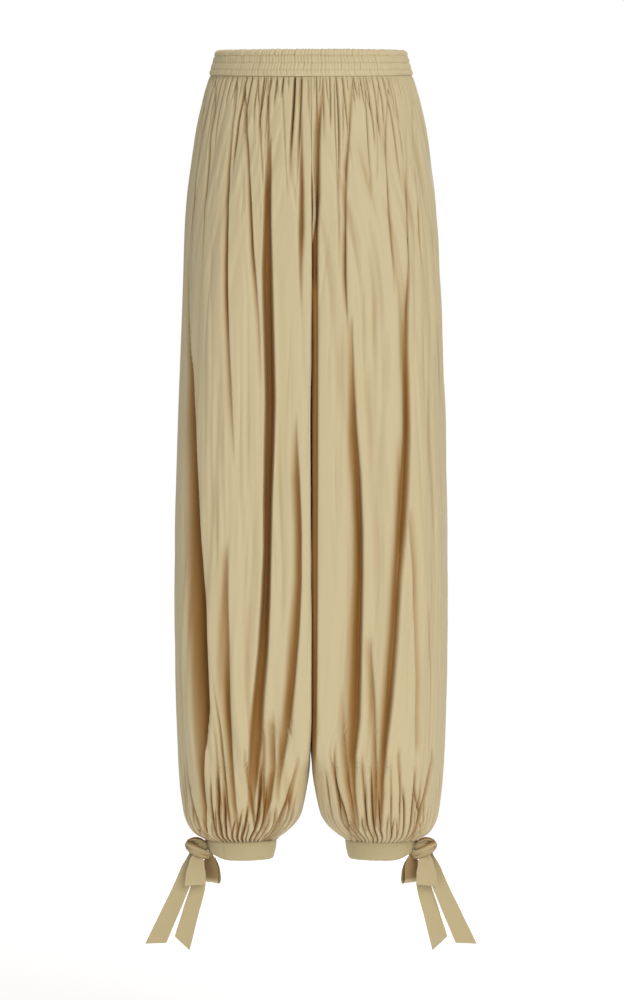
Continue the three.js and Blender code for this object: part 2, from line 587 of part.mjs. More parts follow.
// A band round the ankle, open on the outer side where its two ends run on as the straps.
function cuff(side) {
  const grid = CUFF_RINGS.map((down) =>
    Array.from({ length: CUFF_COLUMNS + 1 }, (_, i) => {
      const angle = mix(CUFF_OPENING, 2 * Math.PI - CUFF_OPENING, i / CUFF_COLUMNS);
      const fromEnd = Math.min(angle, 2 * Math.PI - angle);
      const pinch = PINCH * (1 - ease((fromEnd - CUFF_OPENING) / PINCH_ANGLE));
      const drop = CUFF_DROP * down * (1 - pinch);
      const bulge = 0.8 * Math.sin(Math.PI * down) - CUFF_TAPER * down * (1 - pinch);
      const x = side * (CUFF_CENTRE + (CUFF_HALF_WIDTH + bulge) * Math.cos(angle));
      const y = -(CUFF_HALF_DEPTH + bulge) * Math.sin(angle);
      const point = new THREE.Vector3(x, y, ANKLE_SEAM - SEAM_GAP / 2 - drop);
      point.hold = down === 0 ? 'z' : null;
      return point;
    }),
  );
  return gridWall(grid, CUFF_CLOTH, side > 0);
}

// Bow ---------------------------------------------------------------------------------------------

// The knot's centre, with x measured from the centre plane towards the outer side.
const KNOT = { x: 150.3, y: -10, z: -1033 };
const KNOT_SIZE = { x: 11.6, y: 8.5, z: 10.5 };
const KNOT_WRAPS = 3;

// Each strap is a flat strip along a smooth path, in knot coordinates (x outwards). width tells how much of
// the strap's full width lies open there, and across is the way that its width points.
const STRAPS = {
  loop_front: {
    path: [
      { x: -1, y: -7.9, z: -7.3, width: 0.44 },
      { x: 0, y: -11, z: -20, width: 0.78 },
      { x: 1, y: -13.5, z: -34, width: 1 },
      { x: 1.5, y: -12.5, z: -47.5, width: 1.07 },
      { x: 1.5, y: -9.5, z: -50, width: 1.07 },
      { x: 1.5, y: -6.8, z: -47, width: 1.05 },
      { x: 1, y: -6, z: -34, width: 0.95 },
      { x: 0, y: -4.6, z: -22, width: 0.65 },
      { x: -1, y: -3.2, z: -12, width: 0.35 },
    ],
    across: { x: 1, y: 0, z: -0.1 },
    slant: 0,
    steps: 16,
  },
  loop_back: {
    path: [
      { x: -8, y: 0, z: -7.1, width: 0.34 },
      { x: -14.5, y: -1, z: -12.6, width: 0.48 },
      { x: -18, y: -2, z: -20, width: 0.82 },
      { x: -19.5, y: -2, z: -28, width: 0.96 },
      { x: -19.5, y: -2, z: -38, width: 0.98 },
      { x: -20, y: -1.2, z: -44.5, width: 0.95 },
      { x: -22, y: 1, z: -48, width: 0.92 },
      { x: -24.2, y: 3.4, z: -44.5, width: 0.88 },
      { x: -24.5, y: 4.5, z: -36, width: 0.78 },
      { x: -22.5, y: 6.5, z: -26, width: 0.72 },
      { x: -19.5, y: 7.5, z: -17, width: 0.58 },
    ],
    across: { x: 0.66, y: 0.75, z: 0 },
    slant: 0,
    steps: 20,
  },
  tail_outer: {
    path: [
      { x: 4, y: 3, z: -9.4, width: 0.45 },
      { x: 12, y: 1.5, z: -32, width: 0.75 },
      { x: 22.2, y: 0, z: -57.5, width: 0.8 },
      { x: 37.1, y: -1, z: -90.5, width: 0.88 },
      { x: 54, y: -2, z: -127.3, width: 0.95 },
    ],
    across: { x: 0.91, y: 0.05, z: 0.41 },
    slant: 12.6,
    steps: 10,
  },
  tail_inner: {
    path: [
      { x: 0, y: 6, z: -8.1, width: 0.3 },
      { x: -2, y: 5.5, z: -28, width: 0.5 },
      { x: -1.5, y: 4.8, z: -52, width: 0.75 },
      { x: 7.4, y: 4, z: -84, width: 0.82 },
      { x: 19.5, y: 3, z: -128.1, width: 0.91 },
    ],
    across: { x: 0.963, y: 0, z: 0.27 },
    slant: -12.6,
    steps: 10,
  },
};
const STRAP_COLUMNS = 3;
const STRAP_CUP = 0.8; // how far the middle of a strap stands out from its edges

function strap(side, shape) {
  const stations = shape.path;
  const line = new THREE.CatmullRomCurve3(
    stations.map((row) => new THREE.Vector3(KNOT.x + row.x, KNOT.y + row.y, KNOT.z + row.z)),
    false,
    'centripetal',
  );
  const across = new THREE.Vector3(shape.across.x, shape.across.y, shape.across.z);
  const grid = Array.from({ length: shape.steps + 1 }, (_, i) => {
    const t = i / shape.steps;
    const station = t * (stations.length - 1);
    const row = Math.min(Math.floor(station), stations.length - 2);
    const width = STRAP_WIDTH * mix(stations[row].width, stations[row + 1].width, ease(station - row));
    const centre = line.getPoint(t);
    const along = line.getTangent(t);
    const wide = across.clone().addScaledVector(along, -across.dot(along)).normalize();
    const facing = wide.clone().cross(along);
    return Array.from({ length: STRAP_COLUMNS + 1 }, (_, j) => {
      const offset = j / STRAP_COLUMNS - 0.5;
      const cut = shape.slant * offset * ease((t - 0.8) / 0.2);
      const point = centre.clone().addScaledVector(wide, offset * width).addScaledVector(along, cut);
      point.addScaledVector(facing, STRAP_CUP * (1 - 4 * offset * offset));
      point.x *= side;
      return point;
    });
  });
  return gridWall(grid, STRAP_CLOTH, side < 0);
}

// The strap's turns round the bow, as one firm lump with a groove between turns.
function knot(side) {
  const lump = new THREE.SphereGeometry(1, 14, 10);
  const place = lump.attributes.position;
  const point = new THREE.Vector3();
  for (let i = 0; i < place.count; i += 1) {
    point.fromBufferAttribute(place, i);
    const turn = 1 + 0.07 * Math.cos(KNOT_WRAPS * Math.PI * (point.x * 0.8 + point.z * 0.6));
    place.setXYZ(
      i,
      side * (KNOT.x + point.x * KNOT_SIZE.x * turn),
      KNOT.y + point.y * KNOT_SIZE.y * turn,
      KNOT.z + point.z * KNOT_SIZE.z * turn,
    );
  }
  return side > 0 ? lump : reversed(lump);
}

// The same surface with its faces the other way round, after a mirror.
function reversed(geometry) {
  const turned = geometry.toNonIndexed();
  const from = turned.attributes.position;
  const positions = [];
  for (let i = 0; i < from.count; i += 3) {
    [0, 2, 1].forEach((k) => positions.push(from.getX(i + k), from.getY(i + k), from.getZ(i + k)));
  }
  const result = new THREE.BufferGeometry();
  result.setAttribute('position', new THREE.Float32BufferAttribute(positions, 3));
  return result;
}

// Assembly ----------------------------------------------------------------------------------------

const cloth = new THREE.MeshStandardMaterial({ color: CLOTH_COLOUR, roughness: 0.6, metalness: 0 });
const bandCloth = new THREE.MeshStandardMaterial({ color: BAND_COLOUR, roughness: 0.65, metalness: 0 });
const strapCloth = new THREE.MeshStandardMaterial({ color: STRAP_COLOUR, roughness: 0.65, metalness: 0 });

function named(name, geometry, material) {
  const mesh = new THREE.Mesh(geometry, material);
  mesh.name = name;
  return mesh;
}

const trousers = new THREE.Group();
trousers.add(named('waistband', waistband(), bandCloth));
[[1, 'left'], [-1, 'right']].forEach(([side, leg]) => {
  trousers.add(named(`front_${leg}`, panel(side, 'front'), cloth));
  trousers.add(named(`back_${leg}`, panel(side, 'back'), cloth));
  trousers.add(named(`cuff_${leg}`, cuff(side), bandCloth));
  trousers.add(named(`knot_${leg}`, knot(side), strapCloth));
  Object.entries(STRAPS).forEach(([piece, shape]) => {
    trousers.add(named(`${piece}_${leg}`, strap(side, shape), strapCloth));
  });
});

export default trousers;
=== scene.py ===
import math

import bmesh
import bpy
import numpy as np
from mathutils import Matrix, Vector


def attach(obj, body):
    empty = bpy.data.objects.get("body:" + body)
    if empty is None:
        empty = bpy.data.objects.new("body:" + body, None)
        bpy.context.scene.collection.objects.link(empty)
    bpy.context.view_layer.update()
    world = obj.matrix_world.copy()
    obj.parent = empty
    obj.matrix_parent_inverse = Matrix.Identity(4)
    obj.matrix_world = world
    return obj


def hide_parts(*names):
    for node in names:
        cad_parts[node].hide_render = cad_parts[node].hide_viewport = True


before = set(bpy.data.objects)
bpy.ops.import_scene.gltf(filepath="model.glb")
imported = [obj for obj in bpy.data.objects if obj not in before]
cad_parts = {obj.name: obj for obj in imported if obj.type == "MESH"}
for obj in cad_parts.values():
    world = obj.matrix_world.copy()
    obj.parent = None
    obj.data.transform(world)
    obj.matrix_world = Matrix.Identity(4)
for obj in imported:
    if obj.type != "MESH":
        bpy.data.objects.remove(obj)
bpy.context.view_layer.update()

scene = bpy.context.scene


def add_object(name, data):
    made = bpy.data.objects.new(name, data)
    scene.collection.objects.link(made)
    return made


def add_mesh(name, shell):
    mesh = bpy.data.meshes.new(name)
    shell.to_mesh(mesh)
    shell.free()
    return add_object(name, mesh)


# ---- Camera: level, straight in front, far enough back that the legs hardly taper

camera_data = bpy.data.cameras.new("camera")
camera_data.sensor_width = 36
camera_data.lens = 109.1
camera = add_object("camera", camera_data)
camera.location = (0.0013, -4.0, -0.577)
camera.rotation_euler = (math.radians(90), 0, 0)
scene.camera = camera

# ---- The trousers' measures, in millimetres, as in the solids

MM = 0.001
BAND_TOP, BAND_BOTTOM = 14.5, -15.5
WAIST_TILT, BAND_TOP_TILT = 0.165, 0.125
TILT_ENDS = -300  # where the rows are level again below the tilted waist
CROTCH = -335
CROTCH_BEND = -250
INNER_LEVEL = -430
ANKLE_SEAM = -1024
CUFF_DROP = 25
WAIST_GATHERED, CUFF_GATHERED = 19, 23  # the main gathers in each panel
SWAY_FRONT, SWAY_BACK, SWAY_DEPTH, SWAY_ENDS = 1.6, 6, 110, -940
LEG_ROUND = 2.2  # the power of the outline's curve: 2 is round and more is squarer
CORNER_ROUND, CORNER_ROUND_LOW = dict(front=30, back=2.8), 3.6
CORNER_STEP = 0.7  # the share of a row's samples outside the inner corner
SEAM_GAP = 0.1

OUTER_COLUMNS = dict(front=290, back=236)  # cloth columns from the side seam to the leg's inner corner
INNER_COLUMNS = 30  # and from there to the inseam
ARC_STEPS = 1000
INNER_STEPS = 320  # samples in the short rows of the inner leg
CLOTH, BAND_CLOTH, CUFF_CLOTH = 0.9, 2.2, 2.0
LEGS = {1: "left", -1: "right"}

# How the folds are pressed in, and how much shade is painted into them.
GATHER, LARGE_FOLD, CREASE = 0, 1, 2
STEEP_POWER, SOFT_POWER, ROUND_POWER = 4.5, 1.7, 2.0
FOLD_FADE = 26  # how far beyond its two ends a front fold fades out
BACK_SHADE_LIMIT = 3.6  # the deepest painted shade on the back
BODY_SHADE, WAIST_SHADE, CUFF_SHADE, STRIP_SHADE, ANKLE_SHADE = 1.25, 0.95, 1.7, 1.9, 1.4
SHADE_DEPTH = 6.2  # how deep a fold is where its painted warm shade is two thirds of the whole

# Heights where the spacing of the cloth's rows changes, each with the number of rows down to it.
ROW_BANDS = [(-30, 9), (-120, 22), (-250, 22), (-430, 22), (-880, 38), (-960, 13), (-1024.4, 25)]

# The leg's outline: height, reach from the centre plane outside and inside, depth to the front and back, how
# far the legs are parted, and the share of the depth that the inner corner takes up.
SECTION_NAMES = ("outer", "inner", "front", "back", "split", "corner")
SECTIONS = [
    (-18, 132, 0.06, 97, 97, 0, 0.5),
    (-49, 142, 0.06, 108, 111, 0, 0.5),
    (-78, 149, 0.06, 114, 121, 0.03, 0.5),
    (-130, 157, 0.06, 119, 131, 0.12, 0.5),
    (-183, 163.5, 0.1, 122, 137, 0.34, 0.5),
    (-250, 167, 0.12, 124, 140, 0.72, 0.5),
    (-335, 170, 0.12, 124, 140, 1, 0.5),
    (-445, 174, 0.12, 123, 138, 1, 0.5),
    (-577, 177.5, 0.12, 121, 134, 1, 0.5),
    (-709, 179, 0.12, 119, 130, 1, 0.52),
    (-841, 177, 0.3, 115, 124, 1, 0.56),
    (-920, 174, 1.7, 109, 117, 1, 0.66),
    (-964, 170.5, 7.6, 101, 108, 1, 0.8),
    (-989, 166, 14.5, 89, 95, 1, 0.92),
    (-1004, 160, 24, 74, 79, 1, 1),
    (-1014, 153, 35, 58, 61, 1, 1),
    (-1020, 146, 42, 47, 48, 1, 1),
    (-1024, 140, 45, 41, 41, 1, 1),
]

# The back's large folds: top, bottom, distance from the centre plane at the top, middle and bottom, depth,
# half width, lip, and the lengths over which the fold fades in and out. Lips are as in the front's folds.
BACK_FOLDS = {
    "right": [
        (-200, -960, 161, 171, 165, 12, 9, -1, 180, 200),
        (-100, -620, 138, 150, 146, 22, 7, -1, 160, 200),
        (-240, -970, 128, 122, 118, 31, 8, 1, 220, 160),
        (-70, -440, 108, 112, 106, 14, 6, -1, 110, 170),
        (-80, -900, 84, 90, 96, 28, 7, -1, 200, 220),
        (-110, -985, 60, 58, 74, 34, 8, 1, 240, 150),
        (-60, -560, 38, 32, 30, 18, 6, -1, 120, 220),
        (-400, -980, 22, 28, 44, 20, 9, 1, 200, 130),
    ],
    "left": [
        (-160, -930, 158, 172, 166, 11, 9, 1, 200, 220),
        (-90, -700, 136, 148, 150, 24, 7, 1, 170, 220),
        (-330, -980, 124, 125, 112, 30, 8, -1, 220, 150),
        (-60, -480, 100, 98, 96, 16, 6, 1, 100, 200),
        (-120, -985, 72, 76, 88, 34, 8, -1, 220, 170),
        (-70, -420, 52, 48, 50, 13, 6, 1, 110, 170),
        (-180, -960, 34, 42, 56, 26, 8, -1, 220, 170),
    ],
}

# The front's folds, each a lip and a path from the top down: height, distance from the centre plane, depth
# and half width. A lip of 1 drops sharply on the +X side, -1 on the other, 2 on both, and 0 is a soft crease.
TWO_LIPS = 2
FRONT_FOLDS = {
    "right": [
        (1, (-277, 160.9, 1.9, 2.3), (-343, 159.5, 9, 3.6), (-409, 156, 20, 6.4), (-473, 154.5, 28, 9),
         (-538, 152, 32, 9.4), (-603, 150, 34, 10.2), (-667, 147.4, 34, 11.4), (-732, 144.4, 34, 12),
         (-796, 141.6, 30, 11.6), (-848, 138.8, 23, 10.2), (-900, 140.4, 13, 5.4), (-952, 139.5, 7.5, 2.9),
         (-1007, 134.7, 4.5, 2)),
        (0, (-30, 128, 2, 1.2), (-80, 139, 4.5, 1.4), (-140, 149, 5.5, 1.5), (-200, 155, 4.5, 1.5),
         (-260, 159, 2, 1.5)),
        (0, (-821, 124.6, 1.5, 1.3), (-872, 117.5, 4.9, 1.9), (-924, 112.5, 6, 1.9), (-977, 107.6, 5.4, 1.9),
         (-1017, 101.6, 2.9, 1.3)),
        (1, (-37, 95.8, 3.7, 1.3), (-88, 102, 3.7, 1.3), (-143, 106.4, 6.1, 2), (-200, 107.4, 7.1, 2),
         (-269, 108.3, 8.3, 1.9), (-321, 108.2, 8.1, 1.9), (-372, 106.9, 4.9, 1.9), (-449, 103.7, 4.3, 2.6),
         (-513, 100.5, 1.6, 1.9)),
        (0, (-41, 124.6, 5.2, 2.1), (-88, 130.7, 5.1, 2), (-143, 134.3, 5.7, 2), (-198, 138.5, 4.5, 1.4),
         (-240, 139.5, 2.6, 1.4), (-269, 140.6, 0.8, 1.4)),
        (0, (-38, 138.3, 3.6, 1.6), (-102, 145.1, 4, 1.4), (-156, 150.7, 6, 2.1), (-224, 154.8, 3.2, 1.4),
         (-291, 156.3, 1.5, 1.3)),
        (1, (-37, 86, 5.5, 2), (-88, 83.1, 6, 2), (-144, 79.7, 4.7, 1.3), (-200, 76.9, 6.6, 1.3),
         (-256, 74.3, 6.6, 1.3), (-308, 70.4, 4.4, 1.3), (-360, 67.8, 2.5, 1.3), (-411, 66.5, 1.1, 1.3)),
        (0, (-36, 68.4, 4, 1.3), (-88, 65.6, 3.6, 1.3), (-158, 62.8, 1.8, 1.3)),
        (2, (-116, 54.5, 5.4, 3.2), (-172, 55.8, 10.3, 4.5), (-228, 56.3, 13.3, 5.1),
         (-282, 56.3, 16.4, 6.4), (-334, 55, 17.9, 6.4), (-385, 53.7, 18.7, 6.4), (-449, 52.5, 19.5, 6.4),
         (-513, 53.8, 19.5, 6.4), (-577, 55.7, 19.5, 5.8), (-641, 56.4, 18.3, 5.1), (-705, 58.3, 19.5, 5.8),
         (-769, 61.5, 17.1, 6.4), (-833, 67.3, 14.8, 7), (-885, 70.6, 12.6, 7.7), (-930, 74.5, 8.7, 6.4),
         (-963, 76.6, 3.8, 4.5)),
        (0, (-36, 56.1, 4.9, 1.9), (-88, 55.9, 4.9, 1.9), (-137, 55.8, 3.8, 1.9)),
        (0, (-74, 12.8, 1.5, 1.3), (-102, 13.5, 4.3, 1.9), (-172, 12.8, 7.9, 2.6), (-228, 13.5, 8.9, 3.2),
         (-282, 14.8, 4.3, 1.9), (-333, 14.1, 1.1, 1.3)),
        (0, (-36, 37.3, 2.5, 1.3), (-102, 34.6, 2.2, 1.3), (-158, 32, 1.5, 1.3)),
        (0, (-36, 21.5, 5, 1.6), (-88, 25, 4.9, 1.9), (-144, 28.2, 1.5, 1.3)),
        (1, (-487, 21.2, 2.7, 1.9), (-551, 18.6, 8.1, 3.2), (-616, 16.1, 8.5, 3.2), (-680, 16.1, 8.9, 3.2),
         (-744, 19.3, 10.4, 3.8), (-808, 24.4, 10.4, 3.8), (-860, 30.2, 10.9, 4.5), (-905, 36.6, 7.2, 3.2),
         (-950, 41.9, 2.7, 1.9)),
        (1, (-654, 110.2, 3.3, 3.9), (-731, 109.6, 6.3, 4.5), (-808, 109, 8.3, 5.2),
         (-859, 106.5, 8.9, 3.9), (-911, 102.7, 7.2, 2.6), (-963, 98.4, 4.9, 1.9), (-1005, 94.6, 2.5, 1.3)),
        (0, (-885, 60.3, 4.3, 2.6), (-930, 61, 5.4, 1.9), (-970, 59.9, 5.4, 1.9), (-1014, 60, 2.5, 1.3)),
        (0, (-902, 163.1, 2.4, 2.1), (-942, 159.9, 7.9, 2.8), (-974, 153.3, 7.8, 2.8),
         (-1005, 144, 4.6, 2.1)),
        (0, (-911, 85.4, 3.2, 1.9), (-950, 78.4, 7.9, 2.6), (-983, 74.2, 5.4, 1.9), (-1013, 71.6, 2.5, 1.3)),
        (0, (-886, 124, 2.2, 2), (-931, 120.3, 3.8, 2), (-977, 116.1, 2.6, 1.3)),
        (1, (-872, 49.4, 5.4, 3.2), (-924, 47.6, 7.2, 2.6), (-963, 52.8, 7.2, 2.6), (-1005, 62.3, 2.5, 1.3)),
        (0, (-919, 16.8, 2.9, 2.6), (-964, 29.1, 7.2, 3.2), (-992, 41.5, 6.5, 2.6), (-1016, 54.3, 3.8, 1.9)),
    ],
    "left": [
        (1, (-36, 14.5, 4.5, 1.6), (-88, 9.6, 8.5, 3.2), (-144, 8.3, 8.9, 3.2), (-200, 5.8, 9.8, 3.2),
         (-253, 4.2, 9.2, 2.9), (-286, 4.5, 5.4, 3.2)),
        (0, (-36, 29.6, 3.3, 1.3), (-88, 30.8, 3.3, 1.3), (-144, 33.3, 2.9, 1.3), (-214, 35.2, 3.2, 1.9),
         (-269, 35.2, 1.6, 1.9)),
        (1, (-36, 52.8, 4, 1.3), (-88, 50.1, 4.4, 1.3), (-137, 46.5, 6.3, 1.6), (-186, 44.8, 3.6, 1.3),
         (-242, 44.2, 6.4, 1.9), (-295, 44.2, 7, 1.9), (-347, 46.1, 2.5, 1.3), (-385, 48.6, 1.1, 1.3)),
        (0, (-36, 41.2, 3.6, 1.3), (-74, 41.1, 2.5, 1.3), (-116, 41, 1.1, 1.3)),
        (1, (-359, 51.2, 3.6, 2.6), (-423, 53.1, 6.3, 3.2), (-487, 55.7, 10.2, 4.5), (-551, 60.2, 12.6, 5.1),
         (-615, 62.7, 14.1, 5.1), (-679, 62.8, 14.8, 5.1), (-744, 60.9, 15.6, 5.8), (-808, 59, 14.8, 6.4),
         (-859, 57.1, 13.3, 7), (-905, 53.9, 11.2, 5.1), (-950, 55.3, 5.7, 2.6), (-998, 61.5, 3.8, 1.9)),
        (1, (-834, 39.2, 2.1, 1.9), (-885, 42.4, 6.5, 2.6), (-937, 47.6, 7.9, 2.6), (-984, 54.9, 5.4, 1.9),
         (-1016, 60, 2.5, 1.3)),
        (0, (-37, 99.8, 3.7, 1.3), (-88, 96.8, 3.7, 1.3), (-130, 96.6, 2.9, 1.3), (-186, 99.6, 3.8, 2),
         (-242, 103.2, 3.3, 1.9), (-295, 106.9, 2.2, 1.9)),
        (0, (-36, 69.7, 3.3, 1.3), (-102, 73.3, 2.9, 1.3), (-158, 77, 1.5, 1.3)),
        (0, (-36, 86.6, 3.3, 1.3), (-88, 85, 2.6, 1.3), (-144, 84.8, 1.5, 1.3)),
        (1, (-102, 124.5, 1.9, 1.3), (-157, 124.8, 3, 1.3), (-227, 125.5, 4.1, 1.3), (-281, 125.9, 4.4, 1.3),
         (-333, 124.7, 7.8, 1.6), (-372, 124.4, 8.1, 2.6), (-423, 124.4, 9.5, 3.9), (-487, 125.1, 11.7, 4.6),
         (-551, 122.5, 14.1, 5.9), (-615, 117.9, 13.3, 6.5), (-679, 112.1, 11.8, 5.8),
         (-756, 107, 11.8, 5.8), (-833, 100.7, 11.8, 5.8), (-885, 95.6, 10.3, 4.5), (-937, 91.9, 8.1, 3.2),
         (-990, 91, 4.3, 1.9)),
        (0, (-61, 131.8, 3.1, 1.4), (-88, 132.8, 5, 1.4), (-129, 134.1, 6.2, 1.7), (-184, 137.6, 5.7, 1.7),
         (-240, 141.1, 5.2, 1.7), (-293, 144.5, 3.8, 1.4), (-345, 148.4, 3.1, 1.4), (-396, 152.4, 1.9, 1.4),
         (-448, 156.5, 1.2, 1.4)),
        (0, (-693, 150.9, 1.5, 1.4), (-745, 153, 5.1, 2), (-797, 155.1, 4.2, 1.4),
         (-835, 155.2, 2.7, 1.4), (-887, 153.3, 1.7, 2.1)),
        (-1, (-603, 128.3, 3.3, 3.9), (-667, 132.9, 4.6, 3.3), (-731, 134.9, 3.7, 2.6),
         (-808, 137, 3.7, 3.3), (-886, 135.9, 3.7, 3.3)),
        (1, (-769, 75, 3.6, 3.2), (-833, 80.1, 5.4, 3.2), (-885, 82.1, 5.7, 2.6), (-937, 83.5, 7.2, 2.6),
         (-983, 83.2, 4.9, 1.9), (-1018, 82.1, 2.5, 1.3)),
        (0, (-924, 66.1, 3.8, 1.9), (-963, 68.8, 4.9, 1.9), (-1005, 71.3, 2.5, 1.3)),
        (0, (-911, 113.1, 3.6, 2.6), (-950, 115.2, 4.4, 2), (-990, 113.7, 2.9, 1.3)),
        (0, (-914, 156.9, 4.7, 2.8), (-952, 148.9, 8.2, 2.7), (-985, 140, 7.5, 2.7),
         (-1019, 131.4, 4, 2)),
        (0, (-938, 132.8, 3, 1.3), (-964, 136.3, 6.7, 2), (-999, 140.4, 3, 1.4)),
        (0, (-906, 23.8, 2.2, 1.9), (-944, 32.2, 6.5, 2.6), (-985, 44, 7.2, 2.6), (-1017, 53, 3.8, 1.9)),
        (0, (-930, 102.8, 2.2, 1.3), (-970, 103.3, 4.1, 1.6), (-1013, 102.7, 2.6, 1.3)),
    ],
}

# Gathers at the waist and ankle seams, in the order in which they repeat: length, depth and half width.
WAIST_GATHERS = [
    (45, 5.8, 1), (120, 7.6, 1.2), (70, 6.6, 1.05), (190, 8.6, 1.3), (55, 6, 1), (95, 6.8, 1.15),
    (140, 8, 1.25),
]
SMALL_WAIST_GATHERS = [(26, 4.2, 0.8), (58, 4.8, 0.85), (18, 3.8, 0.8), (40, 4.6, 0.85), (74, 5, 0.95)]
CUFF_GATHERS = [(88, 10.5, 1), (50, 8.5, 0.85), (125, 12, 1.15), (64, 9, 0.9), (100, 11, 1.05)]
SMALL_CUFF_GATHERS = [(34, 6.6, 0.68), (58, 7.6, 0.74), (44, 7, 0.7)]
# Each kind of gather: its sizes, how many a panel has, its scatter's shift and the step through its sizes.
WAIST_GROUPS = [(WAIST_GATHERS, WAIST_GATHERED, 0, 3), (SMALL_WAIST_GATHERS, 22, 6, 2)]
CUFF_GROUPS = [(CUFF_GATHERS, CUFF_GATHERED, 2, 2), (SMALL_CUFF_GATHERS, 24, 9, 1)]

# Fine soft creases: how many a panel has, their shortest and longest, depth and half width.
FINE_CREASES = [(80, 50, 160, 0.6, 1.5), (40, 100, 300, 1, 3), (12, 200, 520, 1.5, 7)]


def ease(value):
    share = np.clip(value, 0, 1)
    return share * share * (3 - 2 * share)


def mix(start, end, share):
    return start + (end - start) * share


def scatter(number, salt):
    """A repeatable scatter between -1 and 1."""
    return ((number * 7919 + salt * 104729 + 611) % 1009) / 1009 * 2 - 1


def spread(number, salt):
    """A second repeatable scatter, between 0 and 1, with no pattern over neighbouring numbers."""
    return (math.sin(number * 127.1 + salt * 311.7) * 43758.5453) % 1.0


def curve_of(heights, values):
    """A smooth curve with no overshoot through values whose heights go down."""
    z, value = np.array(heights, float), np.array(values, float)
    slope = np.diff(value) / np.diff(z)
    tangent = np.zeros(len(z))
    tangent[0], tangent[-1] = slope[0], slope[-1]
    for i in range(1, len(z) - 1):
        if slope[i - 1] * slope[i] > 0:
            tangent[i] = 2 * slope[i - 1] * slope[i] / (slope[i - 1] + slope[i])

    def at(height):
        i = np.clip(np.searchsorted(-z, -np.asarray(height, float), side="right") - 1, 0, len(z) - 2)
        span = z[i + 1] - z[i]
        t = np.clip((height - z[i]) / span, 0, 1)
        start = value[i] * (1 + 2 * t) * (1 - t) ** 2 + tangent[i] * span * t * (1 - t) ** 2
        return start + value[i + 1] * t * t * (3 - 2 * t) + tangent[i + 1] * span * t * t * (t - 1)

    return at


section_heights, *section_columns = zip(*SECTIONS)
profile = {name: curve_of(section_heights, column) for name, column in zip(SECTION_NAMES, section_columns)}


def leg_outline(side, face, z, q):
    """The smooth outline: q is 0 on the side seam, 1 on the leg's inner corner and 2 on the inseam."""
    outer, inner, depth = profile["outer"](z), profile["inner"](z), profile[face](z)
    split, corner = profile["split"](z), profile["corner"](z)
    across = np.cos(np.minimum(q, 1) * math.pi / 2)
    wall = depth * (1 - corner)
    shared = depth * np.sqrt(np.maximum(0, 1 - across * across))
    offset = np.abs(2 * across - 1)
    round_low = min(CORNER_ROUND[face], CORNER_ROUND_LOW)
    eased = mix(CORNER_ROUND[face], round_low, ease((corner - 0.53) / 0.15))
    power = np.where(across > 0.5, LEG_ROUND, mix(eased, 2, ease((corner - 0.7) / 0.3)))
    base = np.where(across > 0.5, 0, wall)
    own = base + (depth - base) * np.maximum(0, 1 - offset**power) ** (1 / power)
    reach = mix(shared, own, split) * np.where(q > 1, 2 - q, 1)
    y = (-1 if face == "front" else 1) * np.maximum(reach, SEAM_GAP / 2)
    wander = SWAY_FRONT if face == "front" else SWAY_BACK
    sway = -wander * np.sin(math.pi * (np.clip(y / SWAY_DEPTH + 0.5, 0, 1) - 0.5))
    straight = min(float(ease((z - SWAY_ENDS) / 90)), float(1 - ease((corner - 0.6) / 0.3)))
    near_centre = (0.3 + 0.7 * split) * (1 - ease(across * 2.5)) * straight
    return side * (inner + (outer - inner) * across) + sway * near_centre, y


def last_q(z):
    if z >= CROTCH_BEND:
        return 1.0
    down = min(1.0, (CROTCH_BEND - z) / (CROTCH_BEND - CROTCH))
    return 2 - math.sqrt(max(0.0, 1 - down * down))


def crotch_height(q):
    return CROTCH_BEND - (CROTCH_BEND - CROTCH) * math.sqrt(max(0.0, 1 - (2 - q) ** 2))


def salt_of(side, face):
    return (3 if side > 0 else 11) + (0 if face == "front" else 5)


def smooth_row(side, face, z, steps=ARC_STEPS):
    """The outline at one height, sampled close together, with its running length and directions."""
    end = last_q(z)
    t = np.linspace(0, 1, steps + 1)
    to_corner = CORNER_STEP if end > 1 else 1.0
    q = 1 - np.maximum(0, 1 - t / to_corner) ** 1.7
    if end > 1:
        q = np.where(t > to_corner, 1 + (t - to_corner) / (1 - to_corner) * (end - 1), q)
    x, y = leg_outline(side, face, z, q)
    arc = np.concatenate([[0], np.cumsum(np.hypot(np.diff(x), np.diff(y)))])
    near = max(2, steps * 6 // 1000)
    low = np.maximum(np.arange(steps + 1) - near, 0)
    high = np.minimum(np.arange(steps + 1) + near, steps)
    run = np.maximum(np.hypot(x[high] - x[low], y[high] - y[low]), 1e-9)
    tangent = np.stack([(x[high] - x[low]) / run, (y[high] - y[low]) / run])
    sign = side * (-1 if face == "front" else 1)
    normal = np.stack([sign * tangent[1], -sign * tangent[0]])
    return dict(z=z, q=q, x=x, y=y, arc=arc, tangent=tangent, normal=normal)


waist_rows, cuff_rows = {}, {}  # the rows at each panel's two seams


def on_leg(row, x):
    """Where on the row's outline a distance from the centre plane lies."""
    inner = profile["inner"](row["z"])
    across = np.clip((x - inner) / (profile["outer"](row["z"]) - inner), 0, 1)
    return np.interp(math.acos(across) * 2 / math.pi, row["q"], row["arc"])


def carried(seam, row, share):
    """Where on a row the cloth lies that is at this share along the seam's row."""
    q = np.interp(share * seam["arc"][-1], seam["arc"], seam["q"])
    return np.interp(q, row["q"], row["arc"])


def back_valley(row, side, fold):
    """The fold at this height, on a parabola through its three distances from the centre plane."""
    top, bottom, x_top, x_mid, x_low, depth, width, lip, fade_top, fade_low = fold
    z = row["z"]
    if not bottom < z < top:
        return None
    t = (top - z) / (top - bottom)
    x = x_top * (1 - t) * (1 - 2 * t) + 4 * x_mid * t * (1 - t) + x_low * t * (2 * t - 1)
    strength = float(ease((top - z) / fade_top) * ease((z - bottom) / fade_low))
    return on_leg(row, x), depth * strength, width * mix(0.55, 1, strength), -lip * side, LARGE_FOLD


